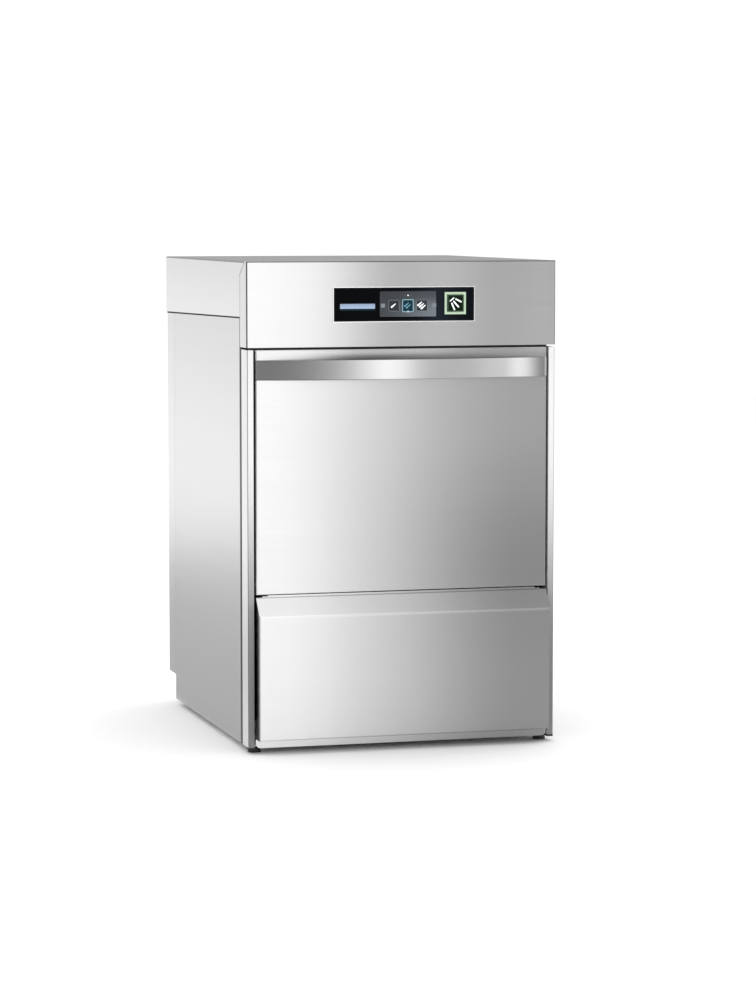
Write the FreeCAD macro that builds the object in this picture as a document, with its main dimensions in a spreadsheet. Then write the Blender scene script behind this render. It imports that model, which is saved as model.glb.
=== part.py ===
"""Under-counter glass washer with a drop-down door, as a parametric FreeCAD document.

Frame: origin on the floor under the middle of the machine, +Z up, the door faces -Y, +X is to the right
of someone standing in front of it. Millimetres.
"""
import FreeCAD, Part
import Sketcher
import math
import os
import re

DIMENSIONS = {
    # casing
    "width": 460.0, "front": -256.0, "back": 284.0, "top": 702.0, "base": 9.0, "sheet": 1.2, "inset": 1.0,
    "fascia_height": 121.8, "fascia_return": 40.0, "mitre_start": 12.0, "mitre_drop": 20.0,
    "seam": 0.5, "skirt_front": 79.0, "skirt_rear": 86.0, "fascia_lip": 30.0,
    "pillar_face": 8.9, "pillar_depth": 37.4, "pillar_top": 577.0, "groove": 6.0, "groove_deep": 2.4,
    "rear_depth": 50.0, "rear_rise": 39.5, "base_recess": 50.0, "tray_rim": 38.0, "hood_inset": 1.2,
    # door and lower panel
    "door_half": 217.15, "door_low": 228.3, "door_high": 577.3, "door_flange": 24.0, "door_thick": 34.0,
    "pan_half": 205.0, "pan_low": 244.0, "pan_high": 569.0, "edge_round": 2.0,
    "hinge_back": 14.0, "hinge_rise": 14.0, "pin_radius": 4.0, "bush_radius": 6.0, "running_gap": 0.05,
    "handle_low": 534.0, "handle_high": 562.5, "handle_reach": 28.0, "handle_sheet": 2.0,
    "panel_low": 21.0, "panel_high": 225.0, "panel_shoulder": 200.0, "panel_proud": 20.0,
    "rail_half": 218.15, "rail_depth": 14.0, "rail_round": 7.0,
    # display
    "display_left": -102.4, "display_right": 106.3, "display_low": 616.1, "display_high": 664.3,
    "display_proud": 0.8, "bezel": 1.1,
    "lcd_left": -33.4, "lcd_right": 49.9, "lcd_low": 624.4, "lcd_high": 658.4,
    "key_centre": 78.0, "key_level": 641.2, "key_half": 12.2, "key_frame": 15.9, "key_proud": 2.6,
    # wash chamber, 400 mm rack
    "chamber_half": 203.0, "chamber_front": -220.0, "chamber_back": 190.0, "chamber_low": 247.0,
    "chamber_high": 597.0, "mouth_high": 559.0, "wall": 1.0, "flange_half": 211.0, "flange_high": 579.0,
    "tank_floor": 202.0, "sump_across": -90.0, "sump_along": -110.0, "sump_radius": 75.0, "sump_low": 137.0,
    "strainer_level": 219.0, "lower_arms": 233.0, "riser_across": 56.0, "riser_along": 206.0,
    "rail_top": 267.0, "rail_inner": 186.0, "arm_centre": -15.0, "axle_radius": 10.0,
    "wash_reach": 190.0, "rinse_reach": 182.0,
    # machine room
    "pump_across": 125.0, "pump_level": 103.0, "pump_front": -12.0, "volute_radius": 56.0,
    "motor_radius": 44.0, "motor_long": 130.0,
    "boiler_across": -140.0, "boiler_level": 105.0, "boiler_radius": 52.0, "boiler_front": -5.0,
    "boiler_long": 180.0, "drain_across": 10.0, "drain_along": 120.0,
    "doser_front": -238.0, "doser_level": 137.0,
    # connections in the recess under the rear cover
    "port_level": 28.0, "inlet_across": -150.0, "inlet_radius": 13.2, "spigot_across": 60.0,
    "spigot_radius": 11.0, "collar_radius": 12.0, "gland_across": 170.0, "gland_radius": 10.0,
    # feet, and the floor of the tray that the machine room stands on
    "foot_radius": 9.5, "foot_disc": 6.0, "stem_radius": 4.9, "foot_side": 215.0, "foot_front": -233.0,
    "foot_inner": 186.0, "foot_rear": 220.0, "tray_sheet": 1.5,
}

V = FreeCAD.Vector
DOC = FreeCAD.newDocument("glass_washer")
SHEET = DOC.addObject("Spreadsheet::Sheet", "Dimensions")
NODES = []


def fill_sheet():
    for row, (word, value) in enumerate(DIMENSIONS.items(), 1):
        SHEET.set(f"A{row}", word)
        SHEET.set(f"B{row}", str(value))
        SHEET.setAlias(f"B{row}", word)
    DOC.recompute()


def formula(text):
    """An expression in which each dimension's name points at its cell."""
    def cell(found):
        word = found[0]
        return "Dimensions." + word if word in DIMENSIONS else word
    return re.sub(r"[a-z_]+", cell, str(text))


def number(text):
    value = SHEET.evalExpression(formula(text))
    return float(getattr(value, "Value", value))


def bind(item, prop, text):
    item.setExpression(prop, formula(text))


def place(item, across=0, along=0, up=0):
    for axis, text in zip("xyz", (across, along, up)):
        bind(item, "Placement.Base." + axis, text)


# ---- building blocks ---------------------------------------------------------------------------------

def block(name, across, along, up):
    """A box between two formulas on each axis."""
    made = DOC.addObject("Part::Box", name)
    for prop, (low, high) in zip(("Length", "Width", "Height"), (across, along, up)):
        bind(made, prop, f"({high}) - ({low})")
    place(made, across[0], along[0], up[0])
    return made


TURNS = {"z": FreeCAD.Rotation(), "x": FreeCAD.Rotation(V(0, 1, 0), 90),
         "y": FreeCAD.Rotation(V(1, 0, 0), -90)}


def rod(name, radius, length, across, along, up, axis="z"):
    """A cylinder that starts at a point and runs along +X, +Y or +Z."""
    made = DOC.addObject("Part::Cylinder", name)
    made.Placement = FreeCAD.Placement(V(), TURNS[axis])
    bind(made, "Radius", radius)
    bind(made, "Height", length)
    place(made, across, along, up)
    return made


def cone(name, low_radius, high_radius, length, across, along, up, axis="z"):
    made = DOC.addObject("Part::Cone", name)
    made.Placement = FreeCAD.Placement(V(), TURNS[axis])
    bind(made, "Radius1", low_radius)
    bind(made, "Radius2", high_radius)
    bind(made, "Height", length)
    place(made, across, along, up)
    return made


def join(name, parts):
    made = DOC.addObject("Part::MultiFuse", name)
    made.Shapes = parts
    made.Refine = True
    return made


def group(name, parts):
    made = DOC.addObject("Part::Compound", name)
    made.Links = parts
    return made


def cut(name, whole, tools):
    made = DOC.addObject("Part::Cut", name)
    made.Base = whole
    made.Tool = tools[0] if len(tools) == 1 else group(name + "_tools", tools)
    return made


def common(name, first, second):
    made = DOC.addObject("Part::Common", name)
    made.Base = first
    made.Tool = second
    return made


PLANES = {"XY_Plane": 1, "XZ_Plane": -1, "YZ_Plane": 1}


def add_sketch(body, plane, points, level):
    """A closed polygon whose corners are formulas, on an origin plane lifted to a level."""
    sketch = body.newObject("Sketcher::SketchObject", body.Name + "_outline")
    origin_plane = next(item for item in body.Origin.OriginFeatures if item.Role == plane)
    sketch.AttachmentSupport = [(origin_plane, "")]
    sketch.MapMode = "FlatFace"
    bind(sketch, "AttachmentOffset.Base.z", f"{PLANES[plane]} * ({level})")
    corners = [V(number(u), number(v), 0) for u, v in points]
    for index, corner in enumerate(corners):
        sketch.addGeometry(Part.LineSegment(corner, corners[(index + 1) % len(corners)]), False)
    for index in range(len(corners)):
        follower = (index + 1) % len(corners)
        sketch.addConstraint(Sketcher.Constraint("Coincident", index, 2, follower, 1))
    for index, (u, v) in enumerate(points):
        for kind, value, text in (("DistanceX", corners[index].x, u), ("DistanceY", corners[index].y, v)):
            row = sketch.addConstraint(Sketcher.Constraint(kind, index, 1, value))
            bind(sketch, f"Constraints[{row}]", text)
    return sketch


def prism(name, plane, points, low, high):
    """A body padded from a polygon, between two levels along the plane's axis."""
    body = DOC.addObject("PartDesign::Body", name)
    start = high if plane == "XZ_Plane" else low
    sketch = add_sketch(body, plane, points, start)
    pad = body.newObject("PartDesign::Pad", name + "_pad")
    pad.Profile = sketch
    bind(pad, "Length", f"({high}) - ({low})")
    DOC.recompute()
    return body


def turned(name, points, across, along, up, axis="z"):
    """A body revolved from (radius, height) points and stood on an axis."""
    body = DOC.addObject("PartDesign::Body", name)
    sketch = add_sketch(body, "XZ_Plane", points, 0)
    revolution = body.newObject("PartDesign::Revolution", name + "_turn")
    revolution.Profile = sketch
    revolution.ReferenceAxis = (sketch, ["V_Axis"])
    revolution.Angle = 360
    body.Placement = FreeCAD.Placement(V(), TURNS[axis])
    place(body, across, along, up)
    DOC.recompute()
    return body


def round_edges(body, radius, chosen):
    """Rounds the body's edges for which chosen(edge) is true."""
    tip = body.Tip
    names = [f"Edge{n}" for n, edge in enumerate(tip.Shape.Edges, 1) if chosen(edge)]
    fillet = body.newObject("PartDesign::Fillet", body.Name + "_round")
    fillet.Base = (tip, names)
    bind(fillet, "Radius", radius)
    DOC.recompute()
    return body


def lies_at(edge, axis, value):
    """True if the whole edge lies in the plane axis = value."""
    box = edge.BoundBox
    low = getattr(box, axis + "Min")
    high = getattr(box, axis + "Max")
    return abs(low - value) < 0.01 and abs(high - value) < 0.01


def mirrored(name, item):
    """The same piece on the other side of the machine's middle plane."""
    made = DOC.addObject("Part::Mirroring", name)
    made.Source = item
    made.Normal = V(1, 0, 0)
    made.Base = V()
    return made


def both_sides(name, item):
    return group(name, [item, mirrored(name + "_opposite", item)])


def tube(name, radius, bend, route):
    """A round hose or pipe: straight runs joined by tangent arcs of one radius. Points are formulas."""
    points = [V(*(number(text) for text in point)) for point in route]
    edges = []
    start = points[0]
    for before, corner, after in zip(points, points[1:], points[2:]):
        inward = (corner - before).normalize()
        outward = (after - corner).normalize()
        trim = bend * math.tan(inward.getAngle(outward) / 2)
        entry = corner - inward * trim
        leave = corner + outward * trim
        middle = corner + (outward - inward).normalize() * (math.hypot(bend, trim) - bend)
        edges.append(Part.LineSegment(start, entry).toShape())
        edges.append(Part.Arc(entry, middle, leave).toShape())
        start = leave
    edges.append(Part.LineSegment(start, points[-1]).toShape())
    ring = Part.Wire([Part.makeCircle(number(radius), points[0], points[1] - points[0])])
    solid = Part.Wire(edges).makePipeShell([ring], True, True)
    if solid.Volume < 0:
        solid.reverse()
    made = DOC.addObject("Part::Feature", name)
    made.Shape = solid
    return made


def node(name, item):
    """Declares a finished sub-part."""
    item.Label = name
    NODES.append(item)
    return item


# ---- casing ------------------------------------------------------------------------------------------

FOOT_PLACES = [(side + across, along) for side in ("-", "")
               for across, along in (("foot_side", "foot_front"), ("foot_inner", "foot_rear"))]


def base_tray():
    half = "width / 2 - inset - 1.4"
    rear = "back - base_recess"
    low_front = "front + rail_depth + 0.2"
    floor = "base + tray_sheet"
    outer = block("tray_outer", (f"-({half})", half), (low_front, rear), ("base", "base + tray_rim"))
    inner = block("tray_inner", (f"-({half}) + tray_sheet", f"{half} - tray_sheet"),
                  (f"{low_front} + tray_sheet", f"{rear} - tray_sheet"), (floor, "base + tray_rim + 1"))
    shell = cut("tray_shell", outer, [inner])
    added = [shell]
    holes = []
    for across, along in FOOT_PLACES:
        added.append(rod("foot_boss", 8, 14, across, along, floor))
        holes.append(rod("foot_thread", "stem_radius + 0.1", 40, across, along, "base - 1"))
    for middle in (-214, 214):
        added.append(block("spring_post", (f"{middle} - 3", f"{middle} + 3"),
                           ("front + 44", "front + 52"), (floor, "base + 50")))
    for port, radius in (("spigot", "collar_radius"), ("inlet", "inlet_radius"), ("gland", "gland_radius")):
        holes.append(rod(port + "_hole", f"{radius} + 0.1", 40, port + "_across",
                         "back - base_recess - 20", "port_level", "y"))
    node("base_tray", cut("base_tray", join("tray_joined", added), holes))


def levelling_feet():
    feet = []
    for across, along in FOOT_PLACES:
        disc = cone("foot_disc", "foot_radius", "foot_radius - 0.6", "foot_disc", across, along, 0)
        collar = rod("foot_collar", 7, "base - foot_disc - 0.5", across, along, "foot_disc")
        stem = rod("foot_stem", "stem_radius", 34, across, along, 3)
        feet.append(join("foot", [disc, collar, stem]))
    node("levelling_feet", group("levelling_feet", feet))


def side_panel(name, side):
    """A sheet with its front and rear edges folded inward."""
    outer = f"{side} * (width / 2 - inset - 0.2)"
    inner = f"{side} * (width / 2 - inset - 0.2 - sheet)"
    fold = f"{side} * (width / 2 - inset - 10)"
    near = "front + pillar_depth + groove"
    far = "back - rear_depth - 0.6"
    points = [(outer, near), (outer, far), (fold, far), (fold, f"{far} - sheet"), (inner, f"{far} - sheet"),
              (inner, f"{near} + sheet"), (fold, f"{near} + sheet"), (fold, near)]
    sheet = prism(name + "_sheet", "XY_Plane", points, "base + 0.6", "top - skirt_front + 5")
    low = f"{side} * 112 - (width / 2 - inset - 1.4 - 112)"
    tray_space = block(name + "_notch", (low, f"{low} + 2 * (width / 2 - inset - 1.4 - 112)"),
                       ("front", "back"), ("base", "base + tray_rim + 0.5"))
    node(name, cut(name, sheet, [tray_space]))


def pillar(name, side):
    """A folded channel: front face, side face and a short inner face that carries the hinge.

    The side face's rear edge is stepped inward, as the floor of the shadow groove beside the side panel.
    """
    outer = f"{side} * (width / 2 - inset)"
    inner = f"{side} * (width / 2 - inset - pillar_face)"
    skin = f"{side} * sheet"
    floor = f"{outer} - {side} * groove_deep"
    step = "front + pillar_depth"
    rear = f"{step} + groove - 0.4"
    points = [(outer, "front"), (outer, step), (floor, step), (floor, rear), (f"{floor} - {skin}", rear),
              (f"{floor} - {skin}", f"{step} - sheet"), (f"{outer} - {skin}", f"{step} - sheet"),
              (f"{outer} - {skin}", "front + sheet"), (f"{inner} + {skin}", "front + sheet"),
              (f"{inner} + {skin}", "front + 30"), (inner, "front + 30"), (inner, "front")]
    channel = prism(name + "_channel", "XY_Plane", points, "base + 0.6", "pillar_top")
    round_edges(channel, 1.0, lambda edge: lies_at(edge, "X", number(outer))
                and lies_at(edge, "Y", number("front")))
    hole = rod(name + "_hole", "pin_radius + 0.1", 17, f"{side} * 218.5 - 8.5", "front + hinge_back",
               "door_low + hinge_rise", "x")
    tray_space = block(name + "_notch", (f"{side} * 223.6 - 4", f"{side} * 223.6 + 4"),
                       ("front + rail_depth", f"{rear} + 1"), ("base", "base + tray_rim + 0.5"))
    drilled = cut(name + "_drilled", channel, [hole, tray_space])
    tabs = []
    for level in (337, 542):
        ends = (f"{side} * (flange_half + 8) - 9", f"{side} * (flange_half + 8) + 9")
        tabs.append(block(name + "_tab", ends, ("chamber_front + wall", "chamber_front + wall + 1.2"),
                          (level, f"{level} + 20")))
    node(name, join(name, [drilled] + tabs))


def pillar_end_caps():
    """Plugs in the pillars' lower ends, each with a flange under the sheet's edge."""
    plug = block("end_cap_plug", ("width / 2 - inset - pillar_face + sheet", "width / 2 - inset - sheet"),
                 ("front + sheet", "front + 13.8"), ("base + 0.6", "base + 7"))
    flange = block("end_cap_flange", ("width / 2 - inset - pillar_face", "width / 2 - inset"),
                   ("front", "front + 13.8"), ("base - 2.4", "base + 0.6"))
    node("pillar_end_caps", both_sides("pillar_end_caps", join("end_cap", [plug, flange])))


def top_cover():
    """A cap with a flat roof and skirts that overlap the side panels and the rear cover."""
    start = "front + mitre_start + seam"
    side = "front + fascia_return + seam"
    points = [(start, "top"), ("back", "top"), ("back", "top - skirt_rear"), (side, "top - skirt_front"),
              (side, "top - mitre_drop")]
    outer = prism("cover_outer", "YZ_Plane", points, "-width / 2", "width / 2")
    round_edges(outer, "edge_round", lambda edge: lies_at(edge, "Z", number("top"))
                and (lies_at(edge, "X", number("width / 2")) or lies_at(edge, "X", -number("width / 2"))
                     or lies_at(edge, "Y", number("back"))))
    inner = block("cover_inner", ("-width / 2 + sheet - 0.1", "width / 2 - sheet + 0.1"),
                  ("front - 1", "back - sheet"), ("top - skirt_rear - 5", "top - sheet"))
    node("top_cover", cut("top_cover", outer, [inner]))


def control_fascia():
    """The front control panel: face, mitred side returns, a top strip and a bottom lip."""
    low = "top - fascia_height"
    points = [("front", low), ("front", "top"), ("front + mitre_start", "top"),
              ("front + fascia_return", "top - mitre_drop"), ("front + fascia_return", low)]
    outer = prism("fascia_outer", "YZ_Plane", points, "-width / 2", "width / 2")
    round_edges(outer, "edge_round", lambda edge: lies_at(edge, "Y", number("front"))
                and not lies_at(edge, "Z", number(low)))
    inner = block("fascia_inner", ("-width / 2 + sheet", "width / 2 - sheet"),
                  ("front + sheet", "front + fascia_return + 9"), (f"{low} + sheet", "top - sheet"))
    behind = block("fascia_behind", ("-width / 2 + sheet", "width / 2 - sheet"),
                   ("front + fascia_lip", "front + fascia_return + 9"), (f"{low} - 1", f"{low} + 9"))
    window = block("fascia_window", ("display_left + 2", "display_right - 2"), ("front - 1", "front + 9"),
                   ("display_low + 2", "display_high - 2"))
    node("control_fascia", cut("control_fascia", outer, [inner, behind, window]))


def rear_cover():
    """A wrap-around hood, shorter than the sides, so that the connections stay free under it."""
    side = "width / 2 - hood_inset"
    near = "back - rear_depth"
    far = "back - hood_inset"
    low = "base + rear_rise"
    high = "top - skirt_rear - 0.6"
    outline = [(f"-({side})", near), (side, near), (side, far), (f"-({side})", far)]
    outer = prism("rear_outer", "XY_Plane", outline, low, high)
    round_edges(outer, "edge_round", lambda edge: lies_at(edge, "Y", number(far))
                and edge.BoundBox.ZLength > 100)
    inner = block("rear_inner", (f"-({side}) + sheet", f"{side} - sheet"),
                  (f"{near} - 1", f"{far} - sheet"), (f"{low} + sheet", f"{high} + 1"))
    behind = block("rear_behind", (f"-({side}) + sheet", f"{side} - sheet"),
                   (f"{near} - 1", f"{near} + 1"), (f"{low} - 1", f"{low} + 9"))
    slots = [block("vent_slot", (column * 24 - 8, column * 24 + 8), ("back - 9", "back + 1"),
                   (level, level + 4)) for column in range(-5, 6) for level in (120, 132, 480, 492)]
    node("rear_cover", cut("rear_cover", outer, [inner, behind] + slots))


def back_panel():
    """The inner rear wall, standing on the tray's rear rim, that closes the machine room."""
    half = "width / 2 - inset - 10.6"
    wall = block("back_wall", (f"-({half})", half), ("back - rear_depth - tray_sheet", "back - rear_depth"),
                 ("base + tray_rim", "top - skirt_rear - 2"))
    vents = [rod("back_vent", 5, 9, column * 20, "back - rear_depth - 5", 100 + row * 16, "y")
             for column in range(-4, 5) for row in range(3)]
    node("back_panel", cut("back_panel", wall, vents))


def bottom_rail():
    rail = prism("bottom_rail", "XZ_Plane",
                 [("-rail_half", "base - 0.5"), ("rail_half", "base - 0.5"), ("rail_half", "panel_low - 0.3"),
                  ("-rail_half", "panel_low - 0.3")], "front", "front + rail_depth")
    round_edges(rail, "rail_round", lambda edge: edge.BoundBox.YLength > 5
                and abs(edge.BoundBox.ZMin - number("base - 0.5")) < 0.01)
    node("bottom_rail", rail)


def lower_front_panel():
    """A proud box-like service panel with a sloped shoulder."""
    proud = "front - panel_proud"
    outer = prism("panel_outer", "YZ_Plane",
                  [("front", "panel_low"), (proud, "panel_low"), (proud, "panel_shoulder"),
                   ("front", "panel_high")], "-door_half", "door_half")
    round_edges(outer, "edge_round", lambda edge: lies_at(edge, "Y", number(proud)))
    inner = prism("panel_inner", "YZ_Plane",
                  [("front + 1", "panel_low + sheet"), (f"{proud} + sheet", "panel_low + sheet"),
                   (f"{proud} + sheet", "panel_shoulder - 0.8"), ("front + 1", "panel_high - 0.4")],
                  "-door_half + sheet", "door_half - sheet")
    lip = block("panel_lip", (-208, 208), ("front", "front + 1"), ("panel_high - 6", "panel_high + 1.4"))
    shell = cut("panel_shell", outer, [inner])
    node("lower_front_panel", join("lower_front_panel", [shell, lip]))


def casing_screws():
    """Flat-headed screws down both edges of the rear cover."""
    screws = [rod("screw", 3.5, "hood_inset - 0.1", across, "back - hood_inset", level, "y")
              for across in (-212, 212) for level in (90, 330, 570)]
    node("casing_screws", group("casing_screws", screws))


# ---- display and start key ---------------------------------------------------------------------------

def display_bezel():
    outer = block("bezel_outer", ("display_left - bezel", "display_right + bezel"),
                  ("front - display_proud", "front"), ("display_low - bezel", "display_high + bezel"))
    inner = block("bezel_inner", ("display_left", "display_right"), ("front - 9", "front + 9"),
                  ("display_low", "display_high"))
    node("display_bezel", cut("display_bezel", outer, [inner]))


def display_glass():
    face = block("glass_face", ("display_left", "display_right"), ("front - display_proud", "front"),
                 ("display_low", "display_high"))
    plug = block("glass_plug", ("display_left + 2", "display_right - 2"), ("front", "front + 2"),
                 ("display_low + 2", "display_high - 2"))
    key = block("glass_key", ("key_centre - key_frame", "key_centre + key_frame"), ("front - 9", "front + 9"),
                ("key_level - key_frame", "key_level + key_frame"))
    node("display_glass", cut("display_glass", join("glass_body", [face, plug]), [key]))


def lcd_module():
    node("lcd_module", block("lcd_module", ("lcd_left - 3", "lcd_right + 3"), ("front + 2", "front + 7"),
                             ("lcd_low - 3", "lcd_high + 3")))


def start_key():
    """The sprung start key and the lit frame that guides it."""
    outer = block("key_frame_outer", ("key_centre - key_frame", "key_centre + key_frame"),
                  ("front - display_proud", "front + 7"), ("key_level - key_frame", "key_level + key_frame"))
    inner = block("key_frame_inner", ("key_centre - key_half - 0.2", "key_centre + key_half + 0.2"),
                  ("front - 9", "front + 9"), ("key_level - key_half - 0.2", "key_level + key_half + 0.2"))
    node("start_light_frame", cut("start_light_frame", outer, [inner]))
    cap = block("key_cap", ("key_centre - key_half", "key_centre + key_half"),
                ("front - key_proud", "front + 4"), ("key_level - key_half", "key_level + key_half"))
    plunger = rod("key_plunger", 3, 3.4, "key_centre", "front + 4", "key_level", "y")
    node("start_button", join("start_button", [cap, plunger]))


def control_box():
    board = block("board", ("display_left - 2", "display_right + 2"), ("front + 9", "front + 10.6"),
                  ("display_low - 8", "display_high + 8"))
    chips = [block("chip", (f"-90 + {n} * 36", f"-72 + {n} * 36"), ("front + 10.6", "front + 15"),
                   ("lcd_low + 3", "lcd_low + 23")) for n in range(5)]
    key_hole = rod("board_switch", 3.4, 9, "key_centre", "front + 8", "key_level", "y")
    node("control_board", cut("control_board", join("board_joined", [board] + chips), [key_hole]))
    outer = block("case_outer", ("display_left - 8", "display_right + 8"), ("front + 7", "front + 34"),
                  ("display_low - 14", "display_high + 14"))
    inner = block("case_inner", ("display_left - 6", "display_right + 6"), ("front + 6", "front + 32"),
                  ("display_low - 12", "display_high + 12"))
    node("controller_case", cut("controller_case", outer, [inner]))


# ---- door --------------------------------------------------------------------------------------------

HINGE_ALONG = "front + hinge_back"
HINGE_UP = "door_low + hinge_rise"


def door_outer_panel():
    outer = prism("door_skin", "XZ_Plane",
                  [("-door_half", "door_low"), ("door_half", "door_low"), ("door_half", "door_high"),
                   ("-door_half", "door_high")], "front", "front + door_flange")
    round_edges(outer, "edge_round", lambda edge: lies_at(edge, "Y", number("front")))
    inner = block("door_hollow", ("-door_half + sheet", "door_half - sheet"),
                  ("front + sheet", "front + door_flange + 1"), ("door_low + sheet", "door_high - sheet"))
    holes = [rod("door_bush_hole", "bush_radius + 0.05", 9, start, HINGE_ALONG, HINGE_UP, "x")
             for start in ("-door_half - 4", "door_half - 5")]
    node("door_outer_panel", cut("door_outer_panel", outer, [inner] + holes))


def door_inner_panel():
    """The liner: a flat sheet inside the outer panel's flanges, raised into a pan towards the chamber."""
    sheet = block("liner_sheet", (-212, 212), ("front + door_flange - 0.2", "front + door_flange + 1"),
                  ("door_low + sheet", "door_high - sheet"))
    pan = prism("liner_pan", "XZ_Plane",
                [("-pan_half", "pan_low"), ("pan_half", "pan_low"), ("pan_half", "pan_high"),
                 ("-pan_half", "pan_high")], "front + door_flange - 0.2", "front + door_thick")
    round_edges(pan, 4, lambda edge: lies_at(edge, "Y", number("front + door_thick")))
    hollow = block("liner_hollow", ("-pan_half + 4", "pan_half - 4"),
                   ("front + door_flange - 1", "front + door_thick - sheet"), ("pan_low + 4", "pan_high - 4"))
    node("door_inner_panel", cut("door_inner_panel", join("liner_joined", [sheet, pan]), [hollow]))


def handle_disc(name, shrink, low, high):
    """A slice of the large cylinder whose arc spans the door and reaches out by the handle's depth."""
    radius = "(pow(door_half; 2) + pow(handle_reach; 2)) / (2 * handle_reach)"
    return rod(name, f"{radius} - {shrink}", f"({high}) - ({low})", 0,
               f"front - handle_reach + {radius}", low)


def door_handle():
    """A bowed band across the door with a closed underside, open at the top for the fingers."""
    ring = cut("handle_ring", handle_disc("handle_outer", 0, "handle_low", "handle_high"),
               [handle_disc("handle_inner", "handle_sheet", "handle_low + handle_sheet", "handle_high + 1")])
    reach = block("handle_reach_box", ("-door_half", "door_half"), ("front - handle_reach - 1", "front"),
                  ("handle_low", "handle_high"))
    node("door_handle", common("door_handle", ring, reach))


def hinge_arms():
    """Side plates of the door: each turns on a bush and has a tail that stretches the door spring."""
    along = HINGE_ALONG
    up = HINGE_UP
    plate = block("arm_plate", (212.4, 215.4), ("front + 3", "front + 22"), (up, f"{up} + 70"))
    boss = rod("arm_boss", 11.5, 3, 212.4, along, up, "x")
    tail = block("arm_tail", (212.4, 215.4), (along, f"{along} + 40"), (f"{up} - 12.6", f"{up} - 2"))
    hole = rod("arm_hole", "bush_radius", 9, 210, along, up, "x")
    arm = cut("arm", join("arm_joined", [plate, boss, tail]), [hole])
    node("hinge_arms", both_sides("hinge_arms", arm))
    sleeve = rod("bush_sleeve", "bush_radius", 6.4, 211.4, along, up, "x")
    rim = rod("bush_rim", "bush_radius + 2", 1, 211.4, along, up, "x")
    bore = rod("bush_bore", "pin_radius + running_gap", 9, 210, along, up, "x")
    bush = cut("bush", join("bush_joined", [sleeve, rim]), [bore])
    node("hinge_bushes", both_sides("hinge_bushes", bush))


def hinge_pins():
    along = HINGE_ALONG
    up = HINGE_UP
    pin = rod("pin", "pin_radius", 15.5, 211, along, up, "x")
    node("hinge_pins", both_sides("hinge_pins", pin))
    body = block("hinge_block_body", ("width / 2 - inset - pillar_face + sheet", "width / 2 - inset - sheet"),
                 (f"{along} - 10", f"{along} + 10"), (f"{up} - 14", f"{up} + 14"))
    bore = rod("hinge_block_bore", "pin_radius", 20.5, 206, along, up, "x")
    node("hinge_blocks", both_sides("hinge_blocks", cut("hinge_block", body, [bore])))


def door_springs():
    """Close-wound extension springs with a hook at each end, one on each side of the chamber."""
    along = "front + 48"
    low = "base + 50"
    high = f"{HINGE_UP} - 12.8"
    coil = cut("spring_coil", rod("spring_outer", 5, f"({high}) - ({low}) - 24", 214, along, f"{low} + 12"),
               [rod("spring_inner", 3.6, 400, 214, along, low)])
    hooks = [rod("spring_hook", 0.9, 14, 214, f"{along} + 4.3", low),
             rod("spring_hook", 0.9, 14, 214, f"{along} + 4.3", f"{high} - 14")]
    node("door_springs", both_sides("door_springs", join("spring", [coil] + hooks)))


def door_sensor():
    node("door_magnet", block("door_magnet", (160, 190), ("front + 8", "front + door_flange - 0.2"),
                              ("door_high - sheet - 10", "door_high - sheet")))
    node("door_switch", block("door_switch", (160, 190), ("front + 8", "front + 22"),
                              ("top - fascia_height + sheet", "top - fascia_height + sheet + 14")))


def door_seal():
    """A gasket round the sides and top of the chamber mouth; it ends above the door's turning corner."""
    thick = ("front + door_flange + 1.3", "chamber_front")
    outer = block("seal_outer", (-211, 211), thick, (f"{HINGE_UP} + 20", "flange_high - 3"))
    inner = block("seal_inner", (-205.5, 205.5), ("front", 0), (f"{HINGE_UP} + 19", "flange_high - 9"))
    node("door_seal", cut("door_seal", outer, [inner]))


# ---- wash chamber ------------------------------------------------------------------------------------

def wash_chamber():
    outer = block("chamber_outer", ("-chamber_half - wall", "chamber_half + wall"),
                  ("chamber_front", "chamber_back + wall"), ("chamber_low", "chamber_high + wall"))
    flange = block("chamber_flange", ("-flange_half", "flange_half"),
                   ("chamber_front", "chamber_front + wall"), ("chamber_low", "flange_high"))
    inner = block("chamber_inner", ("-chamber_half", "chamber_half"),
                  ("chamber_front + wall", "chamber_back"), ("chamber_low - 1", "chamber_high"))
    mouth = block("chamber_mouth", ("-chamber_half", "chamber_half"),
                  ("chamber_front - 1", "chamber_front + 5"), ("chamber_low - 1", "mouth_high"))
    axle = rod("chamber_axle_hole", "axle_radius + 0.1", 9, 0, "arm_centre", "chamber_high - 2")
    body = join("chamber_joined", [outer, flange])
    node("wash_chamber", cut("wash_chamber", body, [inner, mouth, axle]))


def rack_rail(name, side):
    """An angle that the rack slides on, spot-welded to the chamber wall."""
    wall = f"{side} * chamber_half"
    points = [(wall, "rail_top - 3"), (wall, "rail_top + 14"), (f"{wall} - {side} * 1.5", "rail_top + 14"),
              (f"{wall} - {side} * 1.5", "rail_top"), (f"{side} * rail_inner", "rail_top"),
              (f"{side} * rail_inner", "rail_top - 1.5"), (f"{wall} - {side} * 1.5", "rail_top - 1.5"),
              (f"{wall} - {side} * 1.5", "rail_top - 3")]
    node(name, prism(name, "XZ_Plane", points, "chamber_front + 6", "chamber_back - 6"))


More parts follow.
